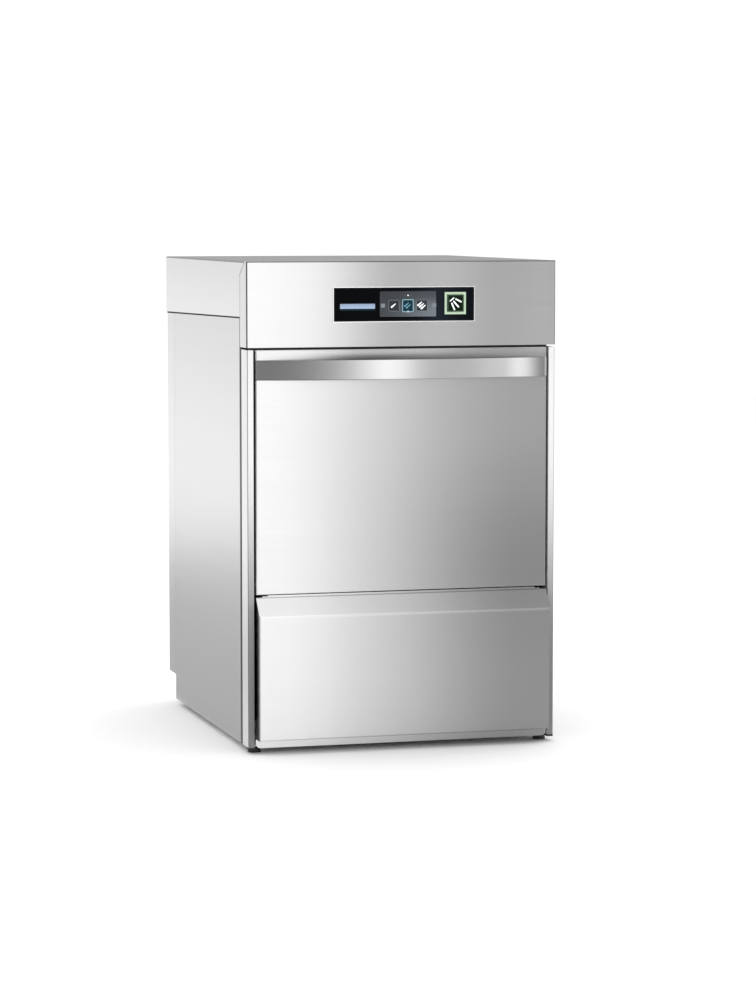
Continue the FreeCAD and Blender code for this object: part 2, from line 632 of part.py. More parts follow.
def wash_tank():
    """A tray under the chamber with a round sump."""
    outer = block("tank_outer", ("-chamber_half - wall", "chamber_half + wall"),
                  ("chamber_front", "chamber_back + wall"), ("tank_floor", "chamber_low"))
    inner = block("tank_inner", ("-chamber_half", "chamber_half"), ("chamber_front + wall", "chamber_back"),
                  ("tank_floor + wall", "chamber_low + 1"))
    well = rod("sump_outer", "sump_radius", "tank_floor - sump_low", "sump_across", "sump_along", "sump_low")
    hollow = rod("sump_inner", "sump_radius - wall", 99, "sump_across", "sump_along", "sump_low + wall")
    outlet = rod("sump_outlet", 14, 50, "sump_across + sump_radius - 20", "sump_along", "sump_low + 20", "x")
    axle = rod("tank_axle_hole", "axle_radius + 0.1", 9, 0, "arm_centre", "tank_floor - 2")
    body = join("tank_joined", [outer, well])
    node("wash_tank", cut("wash_tank", body, [inner, hollow, outlet, axle]))


def surface_strainer():
    """A perforated sheet on four legs, with openings for the fine strainer and the arm's axle."""
    pitch = 24
    reach = 7
    low = "strainer_level - 4"
    sheet = block("strainer_sheet", ("-chamber_half + 1", "chamber_half - 1"),
                  ("chamber_front + wall + 1", "chamber_back - 1"),
                  ("strainer_level", "strainer_level + 1.5"))
    legs = [block("strainer_leg", (f"{x} - 4", f"{x} + 4"), (f"{y} - 4", f"{y} + 4"),
                  ("tank_floor + wall", "strainer_level")) for x in (-180, 180) for y in (-195, 165)]
    openings = [rod("strainer_well", 52, 9, "sump_across", "sump_along", low),
                rod("strainer_axle", "axle_radius + 2", 9, 0, "arm_centre", low)]
    for column in range(-reach, reach + 1):
        for row in range(-reach, reach + 1):
            from_well = abs(column * pitch + 90) + abs(row * pitch + 95)
            at_axle = abs(column) + abs(row) <= 1
            at_leg = abs(column) == reach and abs(row) == reach
            if from_well > 130 and not at_axle and not at_leg:
                along = f"arm_centre + {row * pitch}"
                openings.append(rod("strainer_hole", 4, 9, column * pitch, along, low))
    body = join("strainer_joined", [sheet] + legs)
    node("surface_strainer", cut("surface_strainer", body, openings))


def fine_strainer():
    """A slotted cup in the sump, with a knob on its lid."""
    profile = [(48, 0), (50, 0), (50, 82.6), (58, 82.6), (58, 84.6), (10, 84.6), (10, 92), (0, 92),
               (0, 82.6), (48, 82.6)]
    body = turned("strainer_turned", profile, "sump_across", "sump_along", "sump_low + wall")
    slots = []
    for wide, long in ((4, 60), (60, 4)):
        for low in (12, 34, 56):
            slots.append(block("strainer_slot", (f"sump_across - {wide}", f"sump_across + {wide}"),
                               (f"sump_along - {long}", f"sump_along + {long}"),
                               (f"sump_low + {low}", f"sump_low + {low} + 16")))
    node("fine_strainer", cut("fine_strainer", body, slots))


def tank_heater():
    """A tubular element bent into a flat loop, with two straight ends through the tank's rear wall."""
    level = "tank_floor + 8"
    node("tank_heater", tube("tank_heater", 3.2, 24, [(60, "chamber_back", level), (60, -120, level),
                                                      (160, -120, level), (160, "chamber_back", level)]))


def arm_axle(name, low, high, collar_low, flange_low):
    """A spindle with a collar that carries the arms and a flange against the sheet it passes through."""
    axle = rod(name + "_axle", "axle_radius", f"({high}) - ({low})", 0, "arm_centre", low)
    collar = rod(name + "_collar", "axle_radius + 4", 2, 0, "arm_centre", collar_low)
    flange = rod(name + "_flange", "axle_radius + 6", 2, 0, "arm_centre", flange_low)
    node(name, join(name, [axle, collar, flange]))


def spray_arm(name, reach, half_width, low, high, nozzle_up):
    """A flattened tube that turns on an axle, with jets along it."""
    near = f"arm_centre - {half_width}"
    far = f"arm_centre + {half_width}"
    outline = [(f"-{reach}", "arm_centre - 6"), (f"-{reach} + 8", near), (f"{reach} - 8", near),
               (reach, "arm_centre - 6"), (reach, "arm_centre + 6"), (f"{reach} - 8", far),
               (f"-{reach} + 8", far), (f"-{reach}", "arm_centre + 6")]
    blade = prism(name + "_blade", "XY_Plane", outline, low, high)
    round_edges(blade, 2.5, lambda edge: edge.BoundBox.ZLength < 0.01)
    hub = rod(name + "_hub", "axle_radius + 9", f"({high}) - ({low})", 0, "arm_centre", low)
    bore = rod(name + "_bore", "axle_radius + running_gap", 60, 0, "arm_centre", f"{low} - 20")
    jets = []
    for step in range(1, 6):
        for side in (-1, 1):
            base = high if nozzle_up else f"{low} - 1.5"
            jets.append(cone(name + "_jet", 3.4 if nozzle_up else 2, 2 if nozzle_up else 3.4, 1.5,
                             f"{side} * (30 + {step} * 28)", "arm_centre", base))
    node(name, cut(name, join(name + "_joined", [blade, hub] + jets), [bore]))


def spray_system():
    arm_axle("lower_arm_axle", "tank_floor", "rail_top - 4", "lower_arms - 3", "tank_floor + wall")
    spray_arm("lower_wash_arm", "wash_reach", 15, "lower_arms", "lower_arms + 13", True)
    spray_arm("lower_rinse_arm", "rinse_reach", 8, "lower_arms + 16", "lower_arms + 25", True)
    arm_axle("upper_arm_axle", "mouth_high", "chamber_high + 12", "mouth_high", "chamber_high - 2")
    spray_arm("upper_wash_arm", "wash_reach", 15, "mouth_high + 19", "mouth_high + 31", False)
    spray_arm("upper_rinse_arm", "rinse_reach", 8, "mouth_high + 5", "mouth_high + 14", False)


def riser_pipe():
    """From the pump up behind the chamber and over its roof to the upper axle."""
    node("riser_pipe", tube("riser_pipe", 9, 22, [("riser_across", "riser_along", "tank_floor + 10"),
                                                  ("riser_across", "riser_along", "chamber_high + 40"),
                                                  (0, "arm_centre", "chamber_high + 40"),
                                                  (0, "arm_centre", "chamber_high + 12")]))


# ---- machine room ------------------------------------------------------------------------------------

def wash_pump():
    """Volute, motor and rotor on one axis that runs front to back."""
    across = "pump_across"
    up = "pump_level"
    outer = rod("volute_outer", "volute_radius", 42, across, "pump_front", up, "y")
    snout = rod("volute_snout", 18, 20, across, "pump_front - 20", up, "y")
    outlet = rod("volute_outlet", 11, 30, "pump_across - 38", "pump_front + 21", f"{up} + 36")
    foot = block("volute_foot", (f"{across} - 30", f"{across} + 30"), ("pump_front + 8", "pump_front + 34"),
                 ("base + tray_sheet", f"{up} - 40"))
    chamber = rod("volute_chamber", "volute_radius - 4", 34, across, "pump_front + 4", up, "y")
    inlet = rod("volute_inlet", 14, 40, across, "pump_front - 21", up, "y")
    shaft = rod("volute_shaft", 5.05, 20, across, "pump_front + 30", up, "y")
    duct = rod("volute_duct", 8, 44, "pump_across - 38", "pump_front + 21", f"{up} + 24")
    body = join("volute_joined", [outer, snout, outlet, foot])
    node("wash_pump_volute", cut("wash_pump_volute", body, [chamber, inlet, shaft, duct]))
    can = rod("motor_can", "motor_radius", "motor_long", across, "pump_front + 42", up, "y")
    fins = [block("motor_fin", (f"{across} - motor_radius - 3", f"{across} + motor_radius + 3"),
                  (f"pump_front + {56 + 12 * n}", f"pump_front + {60 + 12 * n}"),
                  (f"{up} - 16", f"{up} + 16")) for n in range(8)]
    foot = block("motor_foot", (f"{across} - 28", f"{across} + 28"), ("pump_front + 70", "pump_front + 130"),
                 ("base + tray_sheet", f"{up} - 30"))
    hollow = rod("motor_hollow", "motor_radius - 6", "motor_long - 20", across, "pump_front + 52", up, "y")
    bearing = rod("motor_bearing", 5.05, "motor_long - 4", across, "pump_front + 40", up, "y")
    body = join("motor_joined", [can, foot] + fins)
    node("wash_pump_motor", cut("wash_pump_motor", body, [hollow, bearing]))
    impeller = rod("impeller_disc", 44, 12, across, "pump_front + 12", up, "y")
    rotor = rod("rotor_core", 30, 80, across, "pump_front + 64", up, "y")
    spindle = rod("rotor_spindle", 5, "motor_long + 20", across, "pump_front + 14", up, "y")
    node("wash_pump_rotor", join("wash_pump_rotor", [impeller, rotor, spindle]))


def rinse_boiler():
    across = "boiler_across"
    up = "boiler_level"
    shell = rod("boiler_shell", "boiler_radius", "boiler_long", across, "boiler_front", up, "y")
    saddles = [block("boiler_saddle", (f"{across} - 34", f"{across} + 34"),
                     (f"boiler_front + {start}", f"boiler_front + {start} + 10"),
                     ("base + tray_sheet", f"{up} - 30")) for start in (20, 140)]
    spout = rod("boiler_spout", 7, 20, across, "boiler_front + 150", f"{up} + boiler_radius - 4")
    hollow = rod("boiler_hollow", "boiler_radius - 1.5", "boiler_long - 3", across, "boiler_front + 1.5",
                 up, "y")
    mouth = rod("boiler_mouth", 24.2, 9, across, "boiler_front - 5", up, "y")
    body = join("boiler_joined", [shell, spout] + saddles)
    node("rinse_boiler", cut("rinse_boiler", body, [hollow, mouth]))
    flange = rod("heater_flange", 32, 5, across, "boiler_front - 5", up, "y")
    plug = rod("heater_plug", 24, 8, across, "boiler_front", up, "y")
    legs = [rod("heater_leg", 4, 140, f"{across} + {shift}", "boiler_front + 8", up, "y")
            for shift in (-14, 14)]
    bridge = block("heater_bridge", (f"{across} - 18", f"{across} + 18"),
                   ("boiler_front + 148", "boiler_front + 154"), (f"{up} - 4", f"{up} + 4"))
    node("boiler_heater", join("boiler_heater", [flange, plug, bridge] + legs))


def drain_pump():
    """An upright drain pump; its rotor turns about a vertical axis."""
    profile = [(0, 0), (32, 0), (32, 30), (24, 30), (24, 84), (0, 84), (0, 78), (18, 78), (18, 34), (4, 34),
               (4, 27), (28, 27), (28, 4), (0, 4)]
    body = turned("drain_body", profile, "drain_across", "drain_along", "base + 28")
    legs = [block("drain_leg", (f"drain_across + {side} - 4", f"drain_across + {side} + 4"),
                  ("drain_along - 8", "drain_along + 8"), ("base + tray_sheet", "base + 32"))
            for side in (-22, 22)]
    node("drain_pump", join("drain_pump", [body] + legs))
    impeller = rod("drain_impeller", 22, 14, "drain_across", "drain_along", "base + 36")
    core = rod("drain_core", 14, 36, "drain_across", "drain_along", "base + 66")
    spindle = rod("drain_spindle", 3.95, 62, "drain_across", "drain_along", "base + 40")
    node("drain_pump_rotor", join("drain_pump_rotor", [impeller, core, spindle]))


def dosing_pumps():
    """Two peristaltic pumps behind the lower panel, each with a three-roller wheel."""
    housings = []
    for across, name in ((60, "dosing_rotor_detergent"), (130, "dosing_rotor_rinse_aid")):
        outer = block("doser_outer", (across - 27, across + 27), ("doser_front", "doser_front + 46"),
                      ("doser_level - 27", "doser_level + 27"))
        leg = block("doser_leg", (across - 12, across + 12), ("doser_front + 24", "doser_front + 44"),
                    ("base + tray_sheet", "doser_level - 27"))
        race = rod("doser_race", 22, 18, across, "doser_front - 1", "doser_level", "y")
        bore = rod("doser_bore", 4.05, 22, across, "doser_front + 10", "doser_level", "y")
        housings.append(cut("doser", join("doser_joined", [outer, leg]), [race, bore]))
        wheel = rod("doser_wheel", 12, 4, across, "doser_front + 12", "doser_level", "y")
        spindle = rod("doser_spindle", 4, 16, across, "doser_front + 14", "doser_level", "y")
        rollers = [rod("doser_roller", 5, 12, f"{across} + {14 * math.cos(turn):.3f}", "doser_front + 2",
                       f"doser_level + {14 * math.sin(turn):.3f}", "y")
                   for turn in (math.radians(90 + 120 * n) for n in range(3))]
        spider = rod("doser_spider", 20.5, 3, across, "doser_front + 9", "doser_level", "y")
        node(name, join(name, [wheel, spindle, spider] + rollers))
    node("dosing_pumps", group("dosing_pumps", housings))


def rear_connections():
    """Water inlet, drain spigot and cable gland in the recess under the rear cover."""
    wall = "back - base_recess"

    def along_wall(name, port, radius, start, length):
        return rod(name, radius, length, port + "_across", f"{wall} + {start}", "port_level", "y")

    body = block("inlet_body", ("inlet_across - 20", "inlet_across + 20"),
                 (f"{wall} - 20.5", f"{wall} - tray_sheet"), ("base + tray_sheet", "port_level + 18"))
    thread = along_wall("inlet_thread", "inlet", "inlet_radius", -4, 28)
    lock_nut = along_wall("inlet_nut", "inlet", 17, 0, 5)
    coil = rod("inlet_coil", 9, 28, "inlet_across", f"{wall} - 13.5", "port_level + 17")
    node("inlet_valve", cut("inlet_valve", join("inlet_joined", [body, thread, lock_nut, coil]),
                            [along_wall("inlet_mouth", "inlet", 9, -6, 34)]))
    collar = along_wall("drain_collar", "spigot", "collar_radius", -12, 12)
    seat = along_wall("drain_seat", "spigot", "spigot_radius", 0, 16)
    core = along_wall("drain_stem", "spigot", "spigot_radius - 0.8", 0, 31)
    barbs = [cone("drain_barb", "spigot_radius", "spigot_radius - 0.8", 4, "spigot_across",
                  f"{wall} + {start}", "port_level", "y") for start in (18.5, 25.5)]
    node("drain_outlet", cut("drain_outlet", join("drain_joined", [collar, seat, core] + barbs),
                             [along_wall("drain_bore", "spigot", 8.5, -13, 60)]))
    sleeve = along_wall("gland_sleeve", "gland", "gland_radius", -6, 18)
    gland_nut = along_wall("gland_nut", "gland", 13, 0, 10)
    node("cable_gland", cut("cable_gland", join("gland_joined", [sleeve, gland_nut]),
                            [along_wall("gland_bore", "gland", 5, -20, 60)]))


def hoses():
    """The machine room's rubber hoses: sump to pump, pump to riser, and sump to drain."""
    sump_edge = "sump_across + sump_radius"
    suction = tube("suction_hose", 13.5, 30, [(sump_edge, "sump_along", "sump_low + 20"),
                                              (50, "sump_along", "sump_low + 20"),
                                              ("pump_across", -90, "pump_level"),
                                              ("pump_across", "pump_front - 20", "pump_level")])
    pressure = tube("pressure_hose", 10, 12, [("pump_across - 38", "pump_front + 21", "pump_level + 66"),
                                              ("pump_across - 38", "pump_front + 21", "tank_floor - 16"),
                                              ("riser_across", "riser_along", "tank_floor - 16"),
                                              ("riser_across", "riser_along", "tank_floor + 10")])
    node("hoses", group("hoses", [suction, pressure]))


# ---- document ----------------------------------------------------------------------------------------

def build():
    fill_sheet()
    base_tray()
    levelling_feet()
    rear_cover()
    back_panel()
    side_panel("side_panel_left", -1)
    side_panel("side_panel_right", 1)
    pillar("pillar_left", -1)
    pillar("pillar_right", 1)
    pillar_end_caps()
    top_cover()
    control_fascia()
    bottom_rail()
    lower_front_panel()
    casing_screws()
    display_bezel()
    display_glass()
    lcd_module()
    start_key()
    control_box()
    door_outer_panel()
    door_inner_panel()
    door_handle()
    hinge_arms()
    hinge_pins()
    door_springs()
    door_sensor()
    door_seal()
    wash_chamber()
    rack_rail("rack_rail_left", -1)
    rack_rail("rack_rail_right", 1)
    wash_tank()
    surface_strainer()
    fine_strainer()
    tank_heater()
    spray_system()
    riser_pipe()
    wash_pump()
    rinse_boiler()
    drain_pump()
    dosing_pumps()
    rear_connections()
    hoses()
    DOC.recompute()


def check_and_write():
    for item in DOC.Objects:
        if {"Invalid", "Error"} & set(item.State):
            raise SystemExit(f"{item.Name} ({item.Label}) failed: {item.State}")
    os.makedirs("parts", exist_ok=True)
    for item in NODES:
        shape = item.Shape
        if shape.isNull() or not shape.isValid() or not shape.Solids:
            raise SystemExit(f"{item.Label} has no valid solid")
        print(f"{item.Label}: {len(shape.Solids)} solids, {shape.Volume / 1000:.1f} cm3")
        shape.exportStep(f"parts/{item.Label}.step")
    print(len(NODES), "nodes")


build()
check_and_write()
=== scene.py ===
"""Looks of the under-counter glass washer: materials, display graphics, studio and camera.

Metres, in the CAD model's own frame: +Z up, the door faces -Y, the floor is at Z = 0.
"""
import math

import bmesh
import bpy
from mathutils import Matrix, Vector

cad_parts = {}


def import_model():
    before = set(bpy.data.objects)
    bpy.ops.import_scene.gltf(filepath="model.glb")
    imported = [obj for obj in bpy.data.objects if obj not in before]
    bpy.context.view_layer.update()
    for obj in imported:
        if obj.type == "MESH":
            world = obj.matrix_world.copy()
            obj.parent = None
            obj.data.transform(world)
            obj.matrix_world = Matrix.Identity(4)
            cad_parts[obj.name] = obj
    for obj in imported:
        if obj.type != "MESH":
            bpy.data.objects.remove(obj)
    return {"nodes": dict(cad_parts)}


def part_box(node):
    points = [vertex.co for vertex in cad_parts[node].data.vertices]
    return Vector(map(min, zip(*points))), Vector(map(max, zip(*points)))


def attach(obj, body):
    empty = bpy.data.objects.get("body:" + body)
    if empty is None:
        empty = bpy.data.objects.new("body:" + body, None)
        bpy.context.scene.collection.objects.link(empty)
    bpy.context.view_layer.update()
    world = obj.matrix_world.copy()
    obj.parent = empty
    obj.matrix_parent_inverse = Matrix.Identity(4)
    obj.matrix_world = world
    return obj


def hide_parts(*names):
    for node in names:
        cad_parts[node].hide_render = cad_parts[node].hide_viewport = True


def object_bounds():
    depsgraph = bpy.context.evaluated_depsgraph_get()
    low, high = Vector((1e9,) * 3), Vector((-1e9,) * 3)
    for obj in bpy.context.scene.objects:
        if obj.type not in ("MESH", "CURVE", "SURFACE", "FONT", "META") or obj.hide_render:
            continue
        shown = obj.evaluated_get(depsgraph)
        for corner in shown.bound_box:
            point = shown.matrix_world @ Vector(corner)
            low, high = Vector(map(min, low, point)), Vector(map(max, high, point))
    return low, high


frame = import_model()
CAD_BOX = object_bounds()
MM = 0.001


# ---- materials ---------------------------------------------------------------------------------------

# parts of a face's normal: it looks sideways or up from these on, and lies on a bend below the last
SIDEWAYS_FROM = 0.5
UPWARDS_FROM = 0.9
BENT_BELOW = 0.985

# the mitre's line: the direction across it in Y and Z, its distance from the origin and its lower end
MITRE_NORMAL = (0.54, 0.84)
MITRE_REACH = 456.4 * MM
MITRE_HALF_WIDTH = 1.5 * MM
MITRE_FOOT = 682 * MM


class Shader:
    """A node material with a Principled surface, and short calls for the nodes used here."""

    def __init__(self, name, **sockets):
        self.material = bpy.data.materials.new(name)
        self.material.use_nodes = True
        self.tree = self.material.node_tree
        self.tree.nodes.clear()
        self.surface = self.add("ShaderNodeBsdfPrincipled")
        output = self.add("ShaderNodeOutputMaterial")
        self.link(self.surface.outputs["BSDF"], output.inputs["Surface"])
        self.space = self.add("ShaderNodeTexCoord").outputs["Object"]
        for socket, value in sockets.items():
            self.surface.inputs[socket.replace("_", " ")].default_value = value

    def add(self, kind, **fields):
        node = self.tree.nodes.new(kind)
        for field, value in fields.items():
            setattr(node, field, value)
        return node

    def link(self, source, target):
        self.tree.links.new(source, target)

    def math(self, operation, first, second=0.0):
        node = self.add("ShaderNodeMath", operation=operation)
        for socket, value in zip(node.inputs, (first, second)):
            if isinstance(value, (int, float)):
                socket.default_value = value
            else:
                self.link(value, socket)
        return node.outputs["Value"]

    def times(self, first, second):
        node = self.add("ShaderNodeVectorMath", operation="MULTIPLY")
        self.link(first, node.inputs[0])
        self.link(second, node.inputs[1])
        return node.outputs["Vector"]

    def mix(self, factor, first, second):
        node = self.add("ShaderNodeMix", data_type="RGBA")
        self.link(factor, node.inputs["Factor"])
        self.link(first, node.inputs["A"])
        self.link(second, node.inputs["B"])
        return node.outputs["Result"]

    def scale_to(self, factor, low, high):
        """low where the factor is 0, high where it is 1."""
        node = self.add("ShaderNodeMapRange")
        node.inputs["To Min"].default_value = low
        node.inputs["To Max"].default_value = high
        self.link(factor, node.inputs["Value"])
        return node.outputs["Result"]

    def ramp(self, factor, stops, interpolation="LINEAR"):
        """Colours along a factor. stops are (factor, colour)."""
        node = self.add("ShaderNodeValToRGB")
        node.color_ramp.interpolation = interpolation
        elements = node.color_ramp.elements
        while len(elements) < len(stops):
            elements.new(0.5)
        for element, (place, colour) in zip(elements, stops):
            element.position = place
            element.color = (*colour, 1.0)
        self.link(factor, node.inputs["Fac"])
        return node.outputs["Color"]

    def noise(self, scale, detail, roughness=0.5):
        """Noise whose features are 1/scale metres long on each axis."""
        mapping = self.add("ShaderNodeMapping")
        mapping.inputs["Scale"].default_value = scale
        self.link(self.space, mapping.inputs["Vector"])
        node = self.add("ShaderNodeTexNoise")
        node.inputs["Scale"].default_value = 1.0
        node.inputs["Detail"].default_value = detail
        node.inputs["Roughness"].default_value = roughness
        self.link(mapping.outputs["Vector"], node.inputs["Vector"])
        return node.outputs["Fac"]

    def colour(self, source):
        self.link(source, self.surface.inputs["Base Color"])

    def roughness(self, source):
        self.link(source, self.surface.inputs["Roughness"])

    def bump(self, height, strength, distance):
        node = self.add("ShaderNodeBump")
        node.inputs["Strength"].default_value = strength
        node.inputs["Distance"].default_value = distance
        self.link(height, node.inputs["Height"])
        self.link(node.outputs["Normal"], self.surface.inputs["Normal"])

    def across_grain(self, direction):
        """The direction in which the brushed grain spreads reflections."""
        node = self.add("ShaderNodeCombineXYZ")
        for socket, value in zip(node.inputs, direction):
            socket.default_value = value
        self.link(node.outputs["Vector"], self.surface.inputs["Tangent"])

    def axes(self, vector):
        """The X, Y and Z parts of a vector."""
        node = self.add("ShaderNodeSeparateXYZ")
        self.link(vector, node.inputs["Vector"])
        return node.outputs

    def normal_axes(self):
        """The X, Y and Z parts of a face's own normal, without smoothing."""
        return self.axes(self.add("ShaderNodeNewGeometry").outputs["True Normal"])

    def place(self, axis, start, end, interpolation="LINEAR"):
        """0 up to start and 1 from end on, in millimetres along an axis. start may be the higher one."""
        node = self.add("ShaderNodeMapRange", interpolation_type=interpolation)
        node.inputs["From Min"].default_value = start * MM
        node.inputs["From Max"].default_value = end * MM
        self.link(self.axes(self.space)[axis], node.inputs["Value"])
        return node.outputs["Result"]

    def window(self, axis, start, end):
        return self.place(axis, start, end, "SMOOTHSTEP")

    def band(self, axis, start, full, fade, end):
        """0 outside start..end, 1 between full and fade, in millimetres along an axis."""
        return self.math("SUBTRACT", self.window(axis, start, full), self.window(axis, fade, end))

    def tone_along(self, axis, stops):
        """A grey factor that changes smoothly along X, Y or Z. stops are (millimetres, factor).

        A ramp's colours end at 1, so it holds the factors divided by their peak.
        """
        low, high = stops[0][0], stops[-1][0]
        peak = max(1.0, max(factor for _, factor in stops))
        greys = [((where - low) / (high - low), mixed_grey(factor / peak)) for where, factor in stops]
        raised = self.add("ShaderNodeVectorMath", operation="SCALE")
        raised.inputs["Scale"].default_value = peak
        self.link(self.ramp(self.place(axis, low, high), greys, "B_SPLINE"), raised.inputs[0])
        return raised.outputs["Vector"]

    def faces_sideways(self):
        """1 on faces that look along X, 0 on the others."""
        return self.math("GREATER_THAN", self.math("ABSOLUTE", self.normal_axes()["X"]), SIDEWAYS_FROM)

    def faces_up(self):
        """1 on level faces that look up, 0 on the others."""
        return self.math("GREATER_THAN", self.normal_axes()["Z"], UPWARDS_FROM)

    def on_bends(self):
        """1 on rounded edges, 0 on faces that look straight along an axis."""
        normal = self.normal_axes()
        across, along, up = (self.math("ABSOLUTE", normal[axis]) for axis in "XYZ")
        largest = self.math("MAXIMUM", self.math("MAXIMUM", across, along), up)
        return self.math("LESS_THAN", largest, BENT_BELOW)

    def on_mitre(self):
        """1 along the slanted joint between the fascia's side returns and the top cover."""
        here = self.axes(self.space)
        reach = self.math("ADD", self.math("MULTIPLY", here["Y"], MITRE_NORMAL[0]),
                          self.math("MULTIPLY", here["Z"], MITRE_NORMAL[1]))
        gap = self.math("ABSOLUTE", self.math("SUBTRACT", reach, MITRE_REACH))
        near = self.math("LESS_THAN", gap, MITRE_HALF_WIDTH)
        return self.math("MULTIPLY", near, self.math("GREATER_THAN", here["Z"], MITRE_FOOT))

    def shade(self, tone, mask, factor):
        """The tone, times a factor where the mask is 1."""
        return self.times(tone, self.scale_to(mask, 1.0, factor))


def mixed_grey(value, warmth=0.0):
    return (value + warmth, value, value - warmth)


GREY_SPREAD = 0.025          # of the steel's grey, up and down
STROKE_SHARE = 0.6           # of the fine strokes in the grey; the wider bands have the rest
BAND_SCALE = 0.06            # of the grain's scale
LEAST_BAND_SCALE = 1.5
SCRATCH_SCALE = 0.35         # of the grain's scale
SCRATCH_SCALE_ADDED = 11


def brushed_steel(name, grain, across, tone=None, level=0.74, rough=0.25, anisotropic=0.6, metal=1.0):
    """Stainless sheet with a brushed grain.

    grain is the noise scale per axis, small along the strokes; across is the direction across them.
    tone, if given, is a function of the shader that returns a grey factor for the colour: painted light
    and shade, standing in for reflections and shadows.
    """
    steel = Shader(name, Metallic=metal, Anisotropic=anisotropic)
    strokes = steel.noise(grain, 4.0, 0.65)
    bands = steel.noise(tuple(max(LEAST_BAND_SCALE, value * BAND_SCALE) for value in grain), 2.0)
    clouds = steel.noise((5.0, 5.0, 5.0), 2.0)
    scratches = steel.noise(tuple(value * SCRATCH_SCALE + SCRATCH_SCALE_ADDED for value in grain), 1.0)
    mixture = steel.math("ADD", steel.math("MULTIPLY", strokes, STROKE_SHARE),
                         steel.math("MULTIPLY", bands, 1.0 - STROKE_SHARE))
    colour = steel.ramp(mixture, [(0.25, mixed_grey(level - GREY_SPREAD)), (0.55, mixed_grey(level, 0.001)),
                                  (0.8, mixed_grey(level + GREY_SPREAD))])
    # painted light and shade: the tone's grey factor multiplies the grain's colour
    steel.colour(steel.times(colour, tone(steel)) if tone else colour)
    base = steel.math("ADD", steel.scale_to(strokes, rough - 0.04, rough + 0.04),
                      steel.scale_to(clouds, -0.02, 0.02))
    steel.roughness(steel.math("ADD", base, steel.scale_to(scratches, -0.015, 0.015)))
    steel.bump(strokes, 0.06, 0.00004)
    steel.across_grain(across)
    return steel.material


def front_painted_light(steel):
    """Painted reflections: bright at the left, fading to grey at the right, more so lower down. A painted
    highlight runs along the fold at the slope's foot, a painted shade line along the lip, and painted shade
    lies on the flanks.
    """
    high = steel.tone_along("X", [(-208, 1.05), (-151, 1.0), (-77, 0.85), (-2, 0.76), (72, 0.69), (147, 0.65),
                                  (206, 0.66)])
    low = steel.tone_along("X", [(-208, 1.04), (-151, 1.02), (-77, 0.79), (-2, 0.65), (72, 0.48), (147, 0.35),
                                 (206, 0.36)])
    shoulder = steel.tone_along("X", [(-208, 1.16), (-151, 1.17), (-77, 0.88), (-2, 0.74), (72, 0.52),
                                      (147, 0.34), (206, 0.35)])
    face = steel.mix(steel.window("Z", 230, 520), low, high)
    slope = steel.band("Z", 197, 202, 224, 228)
    sloped = steel.mix(slope, face, shoulder)
    glint = steel.tone_along("X", [(-208, 1.0), (-77, 1.05), (72, 1.25), (206, 1.35)])
    fold_highlight = steel.mix(steel.band("Z", 195, 196.5, 199.5, 201), sloped, steel.times(sloped, glint))
    lip_shade_line = steel.shade(fold_highlight, steel.band("Z", 223.4, 224.2, 225.0, 225.8), 0.55)
    return steel.shade(lip_shade_line, steel.faces_sideways(), 0.55)


def door_painted_light(steel):
    """Painted reflections as on the rest of the front, with a strip above the handle of painted shadow and
    painted reflection of the handle, darkest along the handle's rim.
    """
    upper = steel.tone_along("X", [(-208, 1.0), (-151, 1.0), (-91, 0.72), (-62, 0.6), (-2, 0.67), (43, 0.72),
                                   (88, 0.6), (147, 0.6), (178, 0.68), (206, 0.8)])
    lower = steel.tone_along("X", [(-208, 1.0), (-151, 0.86), (-121, 0.62), (-91, 0.34), (-62, 0.26),
                                   (-32, 0.26), (-2, 0.34), (43, 0.46), (88, 0.46), (147, 0.54), (206, 0.66)])
    handle_shade_strip = steel.mix(steel.window("Z", 565, 573), lower, upper)
    return steel.mix(steel.window("Z", 555, 560), front_painted_light(steel), handle_shade_strip)


def fascia_painted_light(steel):
    """Painted reflections on the fascia's face. Its side returns stay nearly even, a little darker towards
    the top, with painted shade lines at the joint with the side panel and at the mitre, and painted shade on
    the bends.
    """
    face = steel.tone_along("X", [(-218, 1.04), (-173, 1.0), (-128, 0.97), (-84, 0.83), (-39, 0.64), (5, 0.6),
                                  (50, 0.75), (95, 0.76), (140, 0.7), (184, 0.8), (214, 0.86)])
    return_shading = steel.tone_along("Z", [(580, 0.92), (702, 0.8)])
    joint_shade = steel.shade(steel.shade(return_shading, steel.window("Y", -219, -217.5), 0.5), steel.on_mitre(), 0.5)
    return steel.shade(steel.mix(steel.faces_sideways(), face, joint_shade), steel.on_bends(), 0.3)


def pillar_painted_light(steel):
    """Painted reflections, darker towards the floor, with painted shade on the bends and along the rear edge
    by the groove.
    """
    front = steel.tone_along("Z", [(38, 0.28), (137, 0.29), (251, 0.5), (364, 1.08), (478, 1.25),
                                   (563, 1.16)])
    flank = steel.tone_along("Z", [(38, 0.98), (137, 0.7), (251, 1.12), (364, 1.02), (478, 1.04),
                                   (563, 1.0)])
    bends_shaded = steel.shade(steel.mix(steel.faces_sideways(), front, flank), steel.on_bends(), 0.22)
    return steel.shade(bends_shaded, steel.window("Y", -222, -220.5), 0.12)


def side_painted_light(steel):
    """Painted reflections, bright above and grey below, with painted shade along the edge at the groove
    behind the pillar.
    """
    face = steel.tone_along("Z", [(0, 0.5), (49, 0.6), (158, 0.65), (267, 0.83), (376, 1.0), (485, 0.97),
                                  (593, 0.8), (620, 0.8)])
    return steel.shade(face, steel.window("Y", -206.5, -208.5), 0.12)


